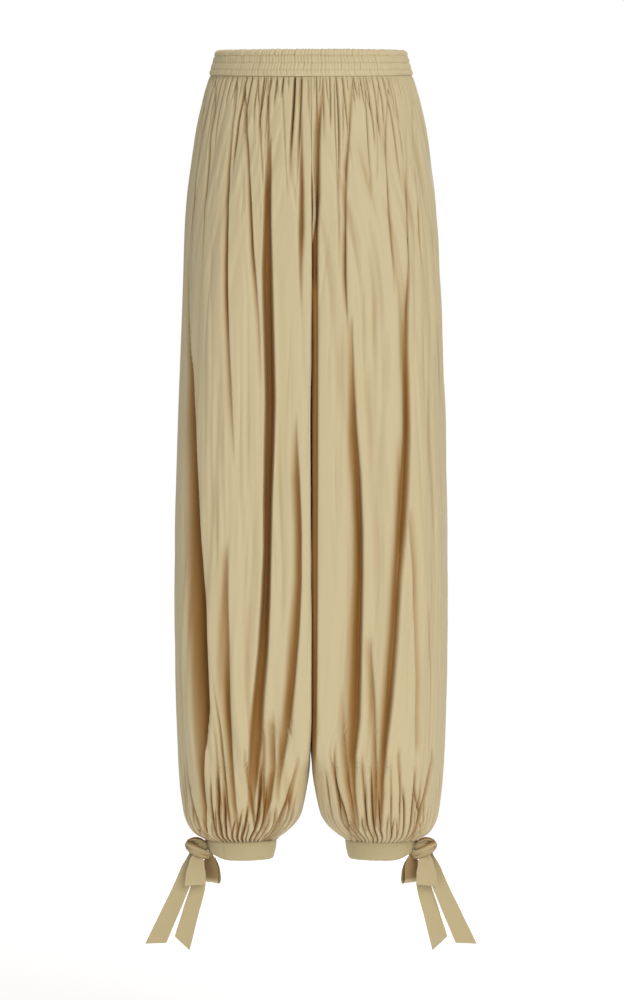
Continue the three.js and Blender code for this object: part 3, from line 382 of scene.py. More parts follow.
def front_valley(row, side, fold):
    """The fold at this height, fading out just beyond its two ends."""
    lip, *path = fold
    z = row["z"]
    heights, *columns = (np.array(column) for column in zip(*path))
    beyond = max(z - heights[0], heights[-1] - z, 0)
    fade = 1 - float(ease(beyond / FOLD_FADE))
    if fade == 0:
        return None
    x, depth, width = (float(np.interp(-z, -heights, column)) for column in columns)
    return on_leg(row, x), depth * fade, width, lip if lip == TWO_LIPS else -lip * side, LARGE_FOLD


def gathers_at(from_seam, groups, salt, length_salt, length_range):
    """The gathers that reach this far from their seam, with how far along each is."""
    for table, count, shift, step in groups:
        for i in range(count):
            share = (i + 0.5 + 0.34 * scatter(i, salt + shift)) / count
            length, depth, width = table[(i * step + salt) % len(table)]
            along = from_seam / (length * (1 + length_range * scatter(i, length_salt)))
            if along < 1:
                yield i, share, salt + shift, depth, width, along


def waist_gathers(row, salt):
    drop = BAND_BOTTOM - row["z"]
    pinch = 1 - 0.2 * math.exp(-drop / 7)
    for i, share, group_salt, depth, width, along in gathers_at(drop, WAIST_GROUPS, salt, salt + 4, 0.3):
        drift = 6 * scatter(i + 5, group_salt) * along * along
        strength = (0.15 + 0.85 * ease(drop / 5)) * (1 - ease((along - 0.3) / 0.7))
        size = depth * (0.6 + 0.8 * spread(i, group_salt))
        at = carried(waist_rows[salt], row, share) + drift
        yield at, size * strength, 0.88 * width * pinch * (1 + 0.5 * along), 0, GATHER


def cuff_gathers(row, salt):
    rise = row["z"] - ANKLE_SEAM
    for i, share, group_salt, depth, width, along in gathers_at(rise, CUFF_GROUPS, salt, salt + 7, 0.25):
        drift = 7 * scatter(i + 3, group_salt) * along * along
        strength = (0.95 + 0.05 * ease(along * 5)) * (1 - ease((along - 0.3) / 0.7))
        at = carried(cuff_rows[salt], row, share) + drift
        yield at, depth * strength, width * (1 + 0.7 * min(1, rise / 80)), 0, GATHER


def fine_creases(row, salt):
    z, q, arc = row["z"], row["q"], row["arc"]
    corner = np.interp(min(1.0, q[-1]), q, arc)
    number = 0
    for count, shortest, longest, depth, width in FINE_CREASES:
        for number in range(number + 1, number + 1 + count):
            reach = mix(shortest, longest, spread(number, salt))
            top = mix(-70, ANKLE_SEAM + 40 + reach, spread(number, salt + 20))
            along = (top - z) / reach
            if 0 < along < 1:
                strength = math.sin(math.pi * along) ** 0.8 * (0.5 + 0.8 * spread(number, salt + 40))
                drift = (spread(number, salt + 60) - 0.5) * 0.12 * reach * (along - 0.5)
                at = spread(number, salt + 80) * corner * 0.94 + 5 + drift
                yield at, depth * strength, width * mix(0.7, 1.4, spread(number, salt + 100)), 0, CREASE


def valleys_at(side, face, row):
    """Every fold, gather and crease that crosses a row: place, depth, half width, lip and kind."""
    salt = salt_of(side, face)
    folds, valley_of = (FRONT_FOLDS, front_valley) if face == "front" else (BACK_FOLDS, back_valley)
    found = [valley for valley in (valley_of(row, side, fold) for fold in folds[LEGS[side]]) if valley]
    found += [*waist_gathers(row, salt), *cuff_gathers(row, salt), *fine_creases(row, salt)]
    return np.array([valley for valley in found if abs(valley[1]) > 0.03], float).reshape(-1, 5).T


def undulation(arc, z, salt):
    """Long low waves in the cloth, whose crests wander as they go down."""
    total = np.zeros_like(arc)
    waves = ((43, 1.0, 1100), (29, 0.8, 800), (19, 0.6, 620), (12.5, 0.38, 470), (8.2, 0.22, 330))
    for number, (length, height, wander) in enumerate(waves):
        turn = salt * 1.7 + number * 2.3
        phase = 2.2 * math.sin(z / wander * 2 * math.pi + turn)
        phase += 1.3 * math.sin(z / wander * 3.3 * math.pi + turn * 2)
        swell = 0.65 + 0.35 * math.sin(z / wander * 4.1 + turn * 3)
        total += height * swell * np.sin(arc * 2 * math.pi / length + phase)
    return total


def seam_puff(z):
    """The cloth is tucked in at the waist and ankle seams and stands out just beyond them."""
    drop, rise = BAND_BOTTOM - z, z - ANKLE_SEAM
    waist = -0.3 * (1 - ease(drop / 3)) - 1.4 * ease(drop / 6) * (1 - ease((drop - 8) / 45))
    ankle = 0.6 * (1 - ease(rise / 4)) - 2.6 * ease(rise / 8) * (1 - ease((rise - 10) / 50))
    return float(waist + ankle)


# The left leg's cloth turns in along the centre, from the waist down to the gap above the ankles: how far
# in it goes at each height, and where the fold starts and ends across.
CENTRE_STRIP = [
    (-120, 0, 10.5, 12.5),
    (-180, 5, 8, 12),
    (-230, 7, 3.5, 9.5),
    (-270, 7.5, -1, 9.3),
    (-330, 8, -2, 9.4),
    (-440, 8, -2, 9.4),
    (-700, 8.5, -2, 8.8),
    (-860, 9, -2, 8),
    (-900, 7, -2, 7),
    (-935, 0, -2, 7),
]


def centre_strip(side, face, z, x):
    """How far the cloth is turned in along the centre."""
    heights, *columns = zip(*CENTRE_STRIP)
    depth, start, end = (np.interp(-z, [-height for height in heights], column) for column in columns)
    if face == "back":
        return 0.5 * depth / (1 + np.exp(np.clip((np.abs(x + 5) - 3.5) / 0.7, -30, 30)))
    if side < 0:
        return np.zeros_like(x)
    rise = 1 / (1 + np.exp(np.clip((start - x) / 0.35, -30, 30)))
    return depth * rise / (1 + np.exp(np.clip((x - end) / 0.35, -30, 30)))


def folded_row(side, face, z, steps=ARC_STEPS):
    """The row with its folds pressed in, and the share of the columns that each stretch of it takes."""
    row = smooth_row(side, face, z, steps)
    arc, q = row["arc"], row["q"]
    at, depth, width, lip, kind = valleys_at(side, face, row)
    gap = arc[:, None] - at[None, :]
    fold, boxed = kind == LARGE_FOLD, lip == TWO_LIPS
    steep_side = (lip * gap > 0) & (np.abs(lip) == 1)
    soft_side = (lip * gap <= 0) & (np.abs(lip) == 1)
    gentle = 1.3 + 1.5 * np.exp(-(width - 1.3) / 2.5)
    lean = np.where(steep_side, 0.95, np.where(soft_side, gentle, np.where(boxed, 1.05, 1.0)))
    power = np.where(steep_side | boxed, STEEP_POWER, np.where(soft_side, SOFT_POWER, ROUND_POWER))
    away = np.abs(gap) / (width * lean)
    pressed = depth * np.exp(-np.minimum(away, 6) ** power)
    deep = np.cbrt(np.sum((pressed * (kind != CREASE)) ** 3, axis=1))
    fine = np.sum(pressed * (kind == CREASE), axis=1)
    bank = np.sum(depth * fold * 0.05 * np.exp(-((away / 2.4) ** 2)), axis=1)
    edge = (away / 1.2) ** 2 * np.exp(1 - np.minimum(away / 1.2, 5) ** 2)
    slide = np.sum(-np.sign(gap) * depth * fold * np.where(steep_side | boxed, 0.06, 0.02) * edge, axis=1)
    from_seam = np.minimum(arc, arc[-1] - arc)
    hold = ease(from_seam / 6)
    inner_leg = 1 - ease((q - 0.75) / 0.2)
    waves = undulation(arc, z, salt_of(side, face))
    waves = waves * ease((BAND_BOTTOM - z) / 90) * ease((z - ANKLE_SEAM) / 70)
    push = deep + fine - bank * inner_leg
    push = push + np.maximum(waves, mix(0, -10, inner_leg)) * (0.3 + 0.7 * inner_leg)
    seam = 0.5 * np.exp(-((from_seam / 1.3) ** 2)) + seam_puff(z)
    for i, axis in enumerate("xy"):
        moved = row[axis] - row["normal"][i] * (push * hold + seam) + row["tangent"][i] * slide * hold
        row[f"fold_{axis}"] = moved
    strip = centre_strip(side, face, z, row["fold_x"]) * (q < 1.35)
    row["fold_y"] = row["fold_y"] + strip * (1 if face == "front" else -1)
    folded = np.hypot(np.diff(row["fold_x"]), np.diff(row["fold_y"]))
    row["weight"] = np.concatenate([[0], np.cumsum(0.68 * np.diff(arc) + 0.32 * folded)])
    # Painted shade: the cloth's colour is darkened in the troughs of the long waves, in the folds and gathers
    # by their depth, and along the turned-in centre strip.
    shaded = 1.1 * np.maximum(waves, 0) * (1 - inner_leg) + 2.2 * np.maximum(waves - 0.3, 0) * inner_leg
    # Painted shade that darkens the cloth towards the ankles.
    shaded = shaded + ANKLE_SHADE * ease((-880 - z) / 110)
    shade = mix(mix(BODY_SHADE, WAIST_SHADE, near_waist(z)), CUFF_SHADE, near_cuff(z))
    row["hollow"] = np.maximum(shade * deep * hold + shaded, strip * STRIP_SHADE)
    if face == "back":
        row["hollow"] = np.minimum(row["hollow"], BACK_SHADE_LIMIT)
    return row


def near_cuff(z):
    return 1 - ease((z - ANKLE_SEAM - 20) / 120)


def near_waist(z):
    return 1 - ease((-60 - z) / 150)


def column_arcs(side, face, row):
    """Where a row's columns lie: closer together in the folds, evenly at the seams."""
    z, columns = row["z"], OUTER_COLUMNS[face]
    column = np.arange(columns + 1)
    at_cuff = row["weight"][-1] * WAIST_GATHERED / CUFF_GATHERED
    corner = mix(np.interp(1, row["q"], row["weight"]), at_cuff, near_cuff(z))
    weight = corner * column / columns
    if z < CROTCH:
        step = np.arange(1, INNER_COLUMNS + 1) / INNER_COLUMNS
        weight = np.concatenate([weight, mix(corner, row["weight"][-1], step)])
    spaced = np.interp(weight, row["weight"], row["arc"])
    if near_cuff(z) > 0:
        all_columns = columns + INNER_COLUMNS
        return mix(spaced, np.arange(all_columns + 1) / all_columns * row["arc"][-1], near_cuff(z))
    if near_waist(z) > 0:
        return mix(spaced, carried(waist_rows[salt_of(side, face)], row, column / columns), near_waist(z))
    return spaced


def tilt_at(z):
    return WAIST_TILT * (1 - ease((BAND_BOTTOM - z) / (BAND_BOTTOM - TILT_ENDS)))


def place(row, source, value):
    x, y, hollow = (np.interp(value, row[source], row[name]) for name in ("fold_x", "fold_y", "hollow"))
    return np.stack([x, y, row["z"] + y * tilt_at(row["z"]), hollow], axis=-1)


def row_heights():
    heights = [float(BAND_BOTTOM)]
    for end, rows in ROW_BANDS:
        start = heights[-1]
        heights += [mix(start, end, (i + 1) / rows) for i in range(rows)]
    return heights


def panel_points(side, face):
    """Two grids of points: the outside of the panel, and the inner leg, which share the inner corner."""
    salt = salt_of(side, face)
    waist_rows[salt] = smooth_row(side, face, BAND_BOTTOM)
    cuff_rows[salt] = smooth_row(side, face, ANKLE_SEAM)
    heights = row_heights()
    columns = OUTER_COLUMNS[face]
    rows = [folded_row(side, face, z) for z in heights]
    start = next(i for i, z in enumerate(heights) if abs(z - CROTCH_BEND) < 1e-6)
    outer, inner = [], []
    for number, (z, row) in enumerate(zip(heights, rows)):
        line = place(row, "arc", column_arcs(side, face, row))
        outer.append(line[: columns + 1])
        if number < start:
            continue
        if z <= INNER_LEVEL + 1e-6:
            inner.append(line[columns:])
            continue
        share = (CROTCH_BEND - z) / (CROTCH_BEND - INNER_LEVEL)
        points = [line[columns]]
        for step in range(1, INNER_COLUMNS + 1):
            q = 1 + step / INNER_COLUMNS
            height = mix(crotch_height(q), INNER_LEVEL, share)
            points.append(place(folded_row(side, face, height, INNER_STEPS), "q", q))
        inner.append(np.array(points))
    return heights, start, np.array(outer), np.array(inner)


# ---- Cloth meshes


def lay_grid(shell, points, places, turn_over):
    """Adds a flat grid to the mesh and moves its points to where the cloth lies. Rows go down."""
    rows, columns = len(points) - 1, len(points[0]) - 1
    layer = shell.loops.layers.uv.verify()
    # Each point carries how much painted shade its colour gets in folds and hollows.
    depth = shell.verts.layers.float.get("painted_fold_shade") or shell.verts.layers.float.new("painted_fold_shade")
    made = bmesh.ops.create_grid(shell, x_segments=columns, y_segments=rows, size=1)["verts"]
    where = {}
    for corner in made:
        column = round((corner.co.x + 1) / 2 * columns)
        row = round((1 - corner.co.y) / 2 * rows)
        where[corner] = places[row][column]
        point = points[row][column]
        corner.co = Vector(point[:3]) * MM
        hollow = point[3] if len(point) > 3 else 0
        corner[depth] = 1 - math.exp(-((hollow / SHADE_DEPTH) ** 1.6)) + 0.6 * ease((hollow - 18) / 20)
    faces = {face for corner in made for face in corner.link_faces}
    for face in faces:
        for loop in face.loops:
            loop[layer].uv = where[loop.vert]
    if turn_over:
        bmesh.ops.reverse_faces(shell, faces=list(faces))
    return made


def finish_cloth(name, shell, material, nodes, thickness, weld=0.00002):
    bmesh.ops.remove_doubles(shell, verts=[v for v in shell.verts if v.is_boundary], dist=weld)
    piece = add_mesh(name, shell)
    piece.data.polygons.foreach_set("use_smooth", [True] * len(piece.data.polygons))
    piece.data.materials.append(material)
    if thickness:
        wall = piece.modifiers.new("wall", "SOLIDIFY")
        wall.thickness = thickness * MM
        wall.offset = -1
        wall.use_even_offset = False
    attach(piece, "root")
    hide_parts(*nodes)
    return piece


# ---- Finishes


def new_group(name, result, **numbers):
    """A group of nodes that takes a place and some numbers and gives one number."""
    group = bpy.data.node_groups.new(name, "ShaderNodeTree")
    group.interface.new_socket("Place", in_out="INPUT", socket_type="NodeSocketVector")
    for label, value in numbers.items():
        made = group.interface.new_socket(label, in_out="INPUT", socket_type="NodeSocketFloat")
        made.default_value = value
    group.interface.new_socket(result, in_out="OUTPUT", socket_type="NodeSocketFloat")
    return group, group.nodes.new("NodeGroupInput").outputs, group.nodes.new("NodeGroupOutput")


def fill(tree, node, values):
    """Fills a node's inputs, with links where the values are other nodes' outputs."""
    for name, value in values.items():
        if isinstance(value, bpy.types.NodeSocket):
            tree.links.new(value, node.inputs[name])
        else:
            node.inputs[name].default_value = value


def add_node(tree, kind, values, output=0, **settings):
    """Adds a node with its settings and inputs, and gives one of its outputs."""
    node = tree.nodes.new("ShaderNode" + kind)
    for name, setting in settings.items():
        setattr(node, name, setting)
    fill(tree, node, values)
    return node.outputs[output]


def calculate(tree, operation, *values):
    return add_node(tree, "Math", dict(enumerate(values)), operation=operation)


def slub_streaks():
    """Long thin streaks along the thread: 0 where the yarn is thin, 1 where it is thick."""
    group, given, end = new_group("slub_streaks", "Streaks", Across=200.0, Along=10.0)
    scale = add_node(group, "CombineXYZ", {0: given["Across"], 1: given["Along"]})
    stretched = add_node(group, "VectorMath", {0: given["Place"], 1: scale}, operation="MULTIPLY")
    look = {"Vector": stretched, "Scale": 1, "Detail": 3, "Roughness": 0.55, "Distortion": 0.35}
    noise = add_node(group, "TexNoise", look, "Fac", noise_dimensions="2D")
    spread_out = add_node(group, "MapRange", {"Value": noise, "From Min": 0.28, "From Max": 0.72}, "Result")
    fill(group, end, {"Streaks": spread_out})
    return group


def plain_weave():
    """The height of a plain weave: one thread over, one thread under."""
    group, given, end = new_group("plain_weave", "Height", Threads=1800.0)
    parts = group.nodes.new("ShaderNodeSeparateXYZ")
    fill(group, parts, {0: given["Place"]})
    turns = calculate(group, "MULTIPLY", given["Threads"], 2 * math.pi)
    angles = [calculate(group, "MULTIPLY", parts.outputs[i], turns) for i in (0, 1)]
    crossing = calculate(group, "MULTIPLY", *(calculate(group, "SINE", angle) for angle in angles))
    fill(group, end, {"Height": calculate(group, "MULTIPLY_ADD", crossing, 0.5, 0.5)})
    return group


STREAKS, WEAVE = slub_streaks(), plain_weave()
FOLD_SHADE_TINT = (0.54, 0.31, 0.1, 1)  # the share of the colour left at the bottom of a fold, as painted warm shade
DEEP_SHADE_TINT = (0.3, 0.24, 0.2, 1)  # and in the narrowest and deepest ones, as darker painted shade
WEAVE_THREADS = 1700  # in a metre


def linear(red, green, blue):
    shares = (red / 255, green / 255, blue / 255)
    return tuple((c / 12.92 if c < 11 / 255 else ((c + 0.055) / 1.055) ** 2.4) for c in shares) + (1,)


def blend(tree, share, first, second, kind="MIX"):
    return add_node(tree, "Mix", {0: share, 6: first, 7: second}, 2, data_type="RGBA", blend_type=kind)


def satin_cotton(name, pale, shaded, roughness, streak_depth, across=190.0, along=9.0):
    material = bpy.data.materials.new(name)
    material.use_nodes = True
    tree = material.node_tree
    place = add_node(tree, "UVMap", {}, uv_map="UVMap")

    def streaks(wide, long):
        values = {"Across": wide, "Along": long, "Place": place}
        return add_node(tree, "Group", values, node_tree=STREAKS)

    broad, fine = streaks(across, along), streaks(across * 3.4, along * 3.2)
    hair = streaks(across * 9, along * 14)
    tone = calculate(tree, "MULTIPLY_ADD", broad, 0.42, calculate(tree, "MULTIPLY", fine, 0.34))
    tone = calculate(tree, "MULTIPLY_ADD", hair, 0.24, tone)
    colour = blend(tree, tone, linear(*shaded), linear(*pale))
    # Painted shade: the colour is darkened and warmed in the folds, and darker still in the deepest ones.
    depth = add_node(tree, "Attribute", {}, "Fac", attribute_name="painted_fold_shade")
    fold_shaded = blend(tree, depth, colour, FOLD_SHADE_TINT, "MULTIPLY")
    deep_shaded = blend(tree, calculate(tree, "SUBTRACT", depth, 1), fold_shaded, DEEP_SHADE_TINT, "MULTIPLY")
    weave = add_node(tree, "Group", {"Threads": WEAVE_THREADS, "Place": place}, node_tree=WEAVE)
    height = calculate(tree, "MULTIPLY_ADD", broad, 1.0, calculate(tree, "MULTIPLY", fine, 0.42))
    height = calculate(tree, "MULTIPLY_ADD", hair, 0.1, height)
    height = calculate(tree, "MULTIPLY_ADD", weave, 0.06, height)
    bump = add_node(tree, "Bump", {"Strength": 1, "Distance": streak_depth, "Height": height})
    rough = calculate(tree, "MULTIPLY_ADD", fine, -0.1, roughness + 0.05)
    look = {"Base Color": deep_shaded, "Roughness": rough, "Normal": bump, "Specular IOR Level": 0.38}
    look.update({"Sheen Weight": 0.18, "Sheen Roughness": 0.45, "Sheen Tint": (1, 0.96, 0.85, 1)})
    fill(tree, tree.nodes["Principled BSDF"], look)
    return material


body_cotton = satin_cotton("body_cotton", (238, 226, 189), (170, 148, 100), 0.55, 0.0018, 150.0, 5.0)
band_cotton = satin_cotton("band_cotton", (215, 201, 163), (199, 182, 141), 0.58, 0.0005)
cuff_cotton = satin_cotton("cuff_cotton", (191, 176, 137), (176, 160, 120), 0.56, 0.0005, 9.0, 160.0)
tie_cotton = satin_cotton("tie_cotton", (198, 181, 140), (182, 165, 123), 0.58, 0.0004, 9.0, 160.0)

# ---- Leg panels

PANEL_SPAN = 0.3  # the cloth between the side seam and the inner corner


def leg_panel(side, face):
    heights, start, outer, inner = panel_points(side, face)
    shell = bmesh.new()
    count = OUTER_COLUMNS[face]
    columns = np.arange(count + INNER_COLUMNS + 1) / count * PANEL_SPAN
    drops = np.array(heights) * MM
    turn_over = side > 0 and face == "back"
    lay_grid(shell, outer, [[(u, v) for u in columns[: count + 1]] for v in drops], turn_over)
    lay_grid(shell, inner, [[(u, v) for u in columns[count:]] for v in drops[start:]], turn_over)
    name = f"{face}_{LEGS[side]}"
    return finish_cloth(f"{name}_cloth", shell, body_cotton, [name], CLOTH)


panels = [leg_panel(side, face) for side in (1, -1) for face in ("front", "back")]

# ---- Waistband

BAND_TAPER = 11
BAND_ROLL, BAND_TUCK = 0.06, 0.07  # the shares of the height over which the two edges turn in
BAND_COLUMNS, BAND_ROWS = 1288, 30
BAND_RIBS, RIB_WIDTH = 184, 0.3
STITCH_ROWS = [24 / 30, 15 / 30, 7 / 30]  # as shares of the band's height
RIB_SIZES = [1.5, 1.0, 0.4, 0.3]  # how strong the ribs are in each channel, from the top down


def rib_profile(turn, channel):
    """Fine gathers held by elastic, whose spacing and height change from channel to channel."""
    salt = channel * 17 + 5
    ribs = range(BAND_RIBS)
    wander = np.array([0.3 * (spread(i, 3) - 0.5) + 0.2 * (spread(i, salt) - 0.5) for i in ribs])
    size = np.array([0.7 + 0.5 * spread(i, salt + 1) for i in ribs])
    at = (np.array(ribs) + 0.5 + wander) / BAND_RIBS
    near = np.concatenate([at - 1, at, at + 1])
    gap = np.abs(turn[:, None] - near[None, :]) * BAND_RIBS
    return np.sum(np.tile(size, 3) * np.exp(-((gap / RIB_WIDTH) ** 2)), axis=1)


def waistband():
    shell = bmesh.new()
    turn = np.arange(BAND_COLUMNS + 1) / BAND_COLUMNS
    angle = turn * 2 * math.pi
    edges = [1.0] + STITCH_ROWS + [0.0]
    points, places = [], []
    for level in np.linspace(1, 0, BAND_ROWS + 1):
        channel = max(0, sum(level < s - 1e-6 for s in STITCH_ROWS))
        top, bottom = edges[channel], edges[channel + 1]
        across = np.clip((level - bottom) / (top - bottom), 0, 1)
        puff = math.sin(math.pi * across) ** 0.6
        slant = 0.0022 * (across - 0.5) * (1 if channel % 2 else -1)
        ribs = rib_profile((turn + slant) % 1, channel)
        size = RIB_SIZES[channel] * (0.45 + 0.55 * puff)
        bulge = 0.2 + (1.0 if channel < 3 else 0.5) * puff + size * (2.2 * ribs - 1.2)
        stitched = min(abs(level - s) for s in STITCH_ROWS) < 0.01
        # Painted shade in the valleys between the ribs and along the stitch rows.
        hollow = 14 * size * np.clip(1 - 1.6 * ribs, 0, 1) + (3.6 if stitched else 0)
        if level > 1 - BAND_ROLL:
            roll = (level - (1 - BAND_ROLL)) / BAND_ROLL
            bulge = bulge * (1 - roll) + roll * (-0.8 + 0.4 * ribs)
        if level < BAND_TUCK:
            bulge = mix(-0.1, bulge, level / BAND_TUCK)
        half_width = profile["outer"](BAND_BOTTOM) - BAND_TAPER * level + bulge
        half_depth = profile["front"](BAND_BOTTOM) - BAND_TAPER * 0.7 * level + bulge
        x, y = half_width * np.cos(angle), half_depth * np.sin(angle)
        edge = ease((level - 0.8) / 0.2) * (1.2 * rib_profile(turn, 0) - 0.7)
        tilt = mix(WAIST_TILT, BAND_TOP_TILT, level)
        z = mix(BAND_BOTTOM + SEAM_GAP, BAND_TOP, level) + edge + y * tilt
        points.append(np.stack([x, y, z, hollow], axis=-1))
        places.append([(t * 0.95, level * 0.031) for t in turn])
    lay_grid(shell, points, places, True)
    return finish_cloth("waistband_band", shell, band_cotton, ["waistband"], BAND_CLOTH, 0.0001)


waistband()

# ---- Cuffs

CUFF_COLUMNS, CUFF_ROWS = 230, 16
CUFF_OUTER, CUFF_INNER = profile["outer"](ANKLE_SEAM), profile["inner"](ANKLE_SEAM)
CUFF_CENTRE, CUFF_HALF_WIDTH = float(CUFF_OUTER + CUFF_INNER) / 2, float(CUFF_OUTER - CUFF_INNER) / 2
CUFF_HALF_DEPTH = float(profile["front"](ANKLE_SEAM))
CUFF_TAPER = 4.5
CUFF_OPENING = 0.07  # half the angle between the cuff's two ends
PINCH, PINCH_ANGLE = 0.45, 1.2  # how much lower the ends are, and the angle over which they narrow
CUFF_CREASES, CREASE_ANGLE = 34, 0.05


def cuff(side):
    leg = LEGS[side]
    turn = np.linspace(0, 1, CUFF_COLUMNS + 1)
    angle = mix(CUFF_OPENING, 2 * math.pi - CUFF_OPENING, turn)
    from_end = np.minimum(angle, 2 * math.pi - angle)
    pinch = PINCH * (1 - ease((from_end - CUFF_OPENING) / PINCH_ANGLE))
    salt = 4 if side > 0 else 9
    creases = np.zeros_like(angle)
    for i in range(CUFF_CREASES):
        at = spread(i, salt) * 2 * math.pi
        near_end = 1 - min(1, min(at, 2 * math.pi - at) / 1.6)
        depth = (0.12 + 0.75 * near_end) * (0.4 + spread(i, salt + 1))
        creases += depth * np.exp(-(((angle - at) / CREASE_ANGLE) ** 2))
    points, places = [], []
    for down in np.linspace(0, 1, CUFF_ROWS + 1):
        drop = CUFF_DROP * down * (1 - pinch)
        rolled = 0.9 * (1 - ease(min(down, 1 - down) / 0.1))
        bulge = 0.8 * math.sin(math.pi * down) - CUFF_TAPER * down * (1 - pinch) - rolled
        bulge = bulge - creases * (0.35 + 0.65 * math.sin(math.pi * min(1, 0.25 + down * 0.75)))
        x = side * (CUFF_CENTRE + (CUFF_HALF_WIDTH + bulge) * np.cos(angle))
        y = -(CUFF_HALF_DEPTH + bulge) * np.sin(angle)
        points.append(np.stack([x, y, ANKLE_SEAM - SEAM_GAP - drop], axis=-1))
        places.append([(t * 0.26, down * 0.025) for t in turn])
    shell = bmesh.new()
    lay_grid(shell, points, places, side > 0)
    return finish_cloth(f"cuff_{leg}_band", shell, cuff_cotton, [f"cuff_{leg}"], CUFF_CLOTH)


for side in (1, -1):
    cuff(side)

# ---- Bows

STRAP_WIDTH = 26
KNOT = Vector((150.3, -10, -1033))
STRAP_THICK, TURN_THICK = 1.3, 4  # a turn round the bow is folded on itself
AROUND = 32  # points round a strap
LUMP_SIZE, LUMP_SHIFT = (12.5, 7, 8.8), -3.5  # the cloth that fills the knot

# Paths run in knot coordinates: x towards the outer side, y towards the back, z up. The fourth number is the
# share of the strap's width that lies open there. A slant cuts the end, and an inside number paints shade
# over the near half, where the loop's inner face lies in shadow.
STRAPS = {
    "loop_front": dict(path=[(-1, -7.9, -7.3, 0.44), (0, -11, -20, 0.78), (1, -13.5, -34, 1),
        (1.5, -12.5, -47.5, 1.07), (1.5, -9.5, -50, 1.07), (1.5, -6.8, -47, 1.05), (1, -6, -34, 0.95),
        (0, -4.6, -22, 0.65), (-1, -3.2, -12, 0.35)], across=(1, 0, -0.1), steps=150),
    "loop_back": dict(path=[(-8, 0, -7.1, 0.34), (-15.5, -1, -12.6, 0.62), (-17, -2, -19, 0.95),
        (-18.3, -2, -28, 1.04), (-18.3, -2, -38, 1.04), (-19, -1.2, -44.5, 1), (-22, 1, -48, 0.92),
        (-24.2, 3.4, -44.5, 0.88), (-24.5, 4.5, -36, 0.78), (-22.5, 6.5, -26, 0.72),
        (-19.5, 7.5, -17, 0.58)], across=(0.66, 0.75, 0), steps=150, inside=6),
    "tail_outer": dict(path=[(4, 3, -9.4, 0.45), (12, 1.5, -32, 0.75), (22.2, 0, -57.5, 0.8),
        (37.1, -1, -90.5, 0.88), (54, -2, -127.3, 0.95)],
        across=(0.91, 0.05, 0.41), slant=12.6, steps=130),
    "tail_inner": dict(path=[(0, 6, -8.1, 0.3), (-2, 5.5, -28, 0.5), (-1.5, 4.8, -52, 0.75),
        (7.4, 4, -84, 0.82), (19.5, 3, -128.1, 0.91)], across=(0.963, 0, 0.27), slant=-12.6, steps=130),
}
# The strap's turns round the bow: two lie side by side from the top to the back loop, one goes over them.
KNOT_TURNS = [
    dict(path=[(5, 5, 7, 0.3), (9.5, -3, 5.5, 0.32), (7.5, -8.5, 3, 0.34), (0, -11, -1.5, 0.34),
        (-8, -10, -6, 0.32), (-15, -5, -9.5, 0.3), (-18, 1, -11, 0.28)],
        across=(0.45, 0, 0.9), steps=60, thick=4.2),
    dict(path=[(7, 5, -1, 0.3), (9, -3, -2, 0.3), (5, -8, -4.5, 0.32), (-2, -9.6, -8, 0.32),
        (-9, -8, -11.5, 0.3), (-14, -3, -13.5, 0.28), (-16, 2, -14, 0.26)],
        across=(0.4, 0, 0.9), steps=60, thick=TURN_THICK),
    dict(path=[(-10, -3, 3.5, 0.28), (-6, -7.5, 6.5, 0.3), (0, -8.6, 8.4, 0.32), (5.5, -6.6, 7.6, 0.32),
        (9.5, -3, 4, 0.3), (10.5, 1, -0.5, 0.3), (8, 5, -5, 0.3)],
        across=(-0.2, -0.75, 0.65), steps=60, thick=TURN_THICK),
]


def smooth_path(stations, count):
    """A smooth path through the stations, with its direction and the share of the width at each step."""
    where = np.array([row[:3] for row in stations], float)
    share = np.array([row[3] for row in stations], float)
    ahead = np.vstack([2 * where[0] - where[1], where, 2 * where[-1] - where[-2]])
    knots = np.concatenate([[0], np.cumsum(np.sqrt(np.linalg.norm(np.diff(ahead, axis=0), axis=1)))])
    line, width = [], []
    for t in np.linspace(0, len(where) - 1, count + 1):
        i = min(int(t), len(where) - 2)
        a = t - i
        k = knots[i : i + 4]
        p = ahead[i : i + 4]
        u = mix(k[1], k[2], a)
        first = [mix(p[j], p[j + 1], (u - k[j]) / (k[j + 1] - k[j])) for j in range(3)]
        second = [mix(first[j], first[j + 1], (u - k[j]) / (k[j + 2] - k[j])) for j in range(2)]
        line.append(mix(second[0], second[1], (u - k[1]) / (k[2] - k[1])))
        width.append(mix(share[i], share[i + 1], ease(a)))
    line = np.array(line)
    along = np.gradient(line, axis=0)
    return line, along / np.linalg.norm(along, axis=1, keepdims=True), np.array(width)


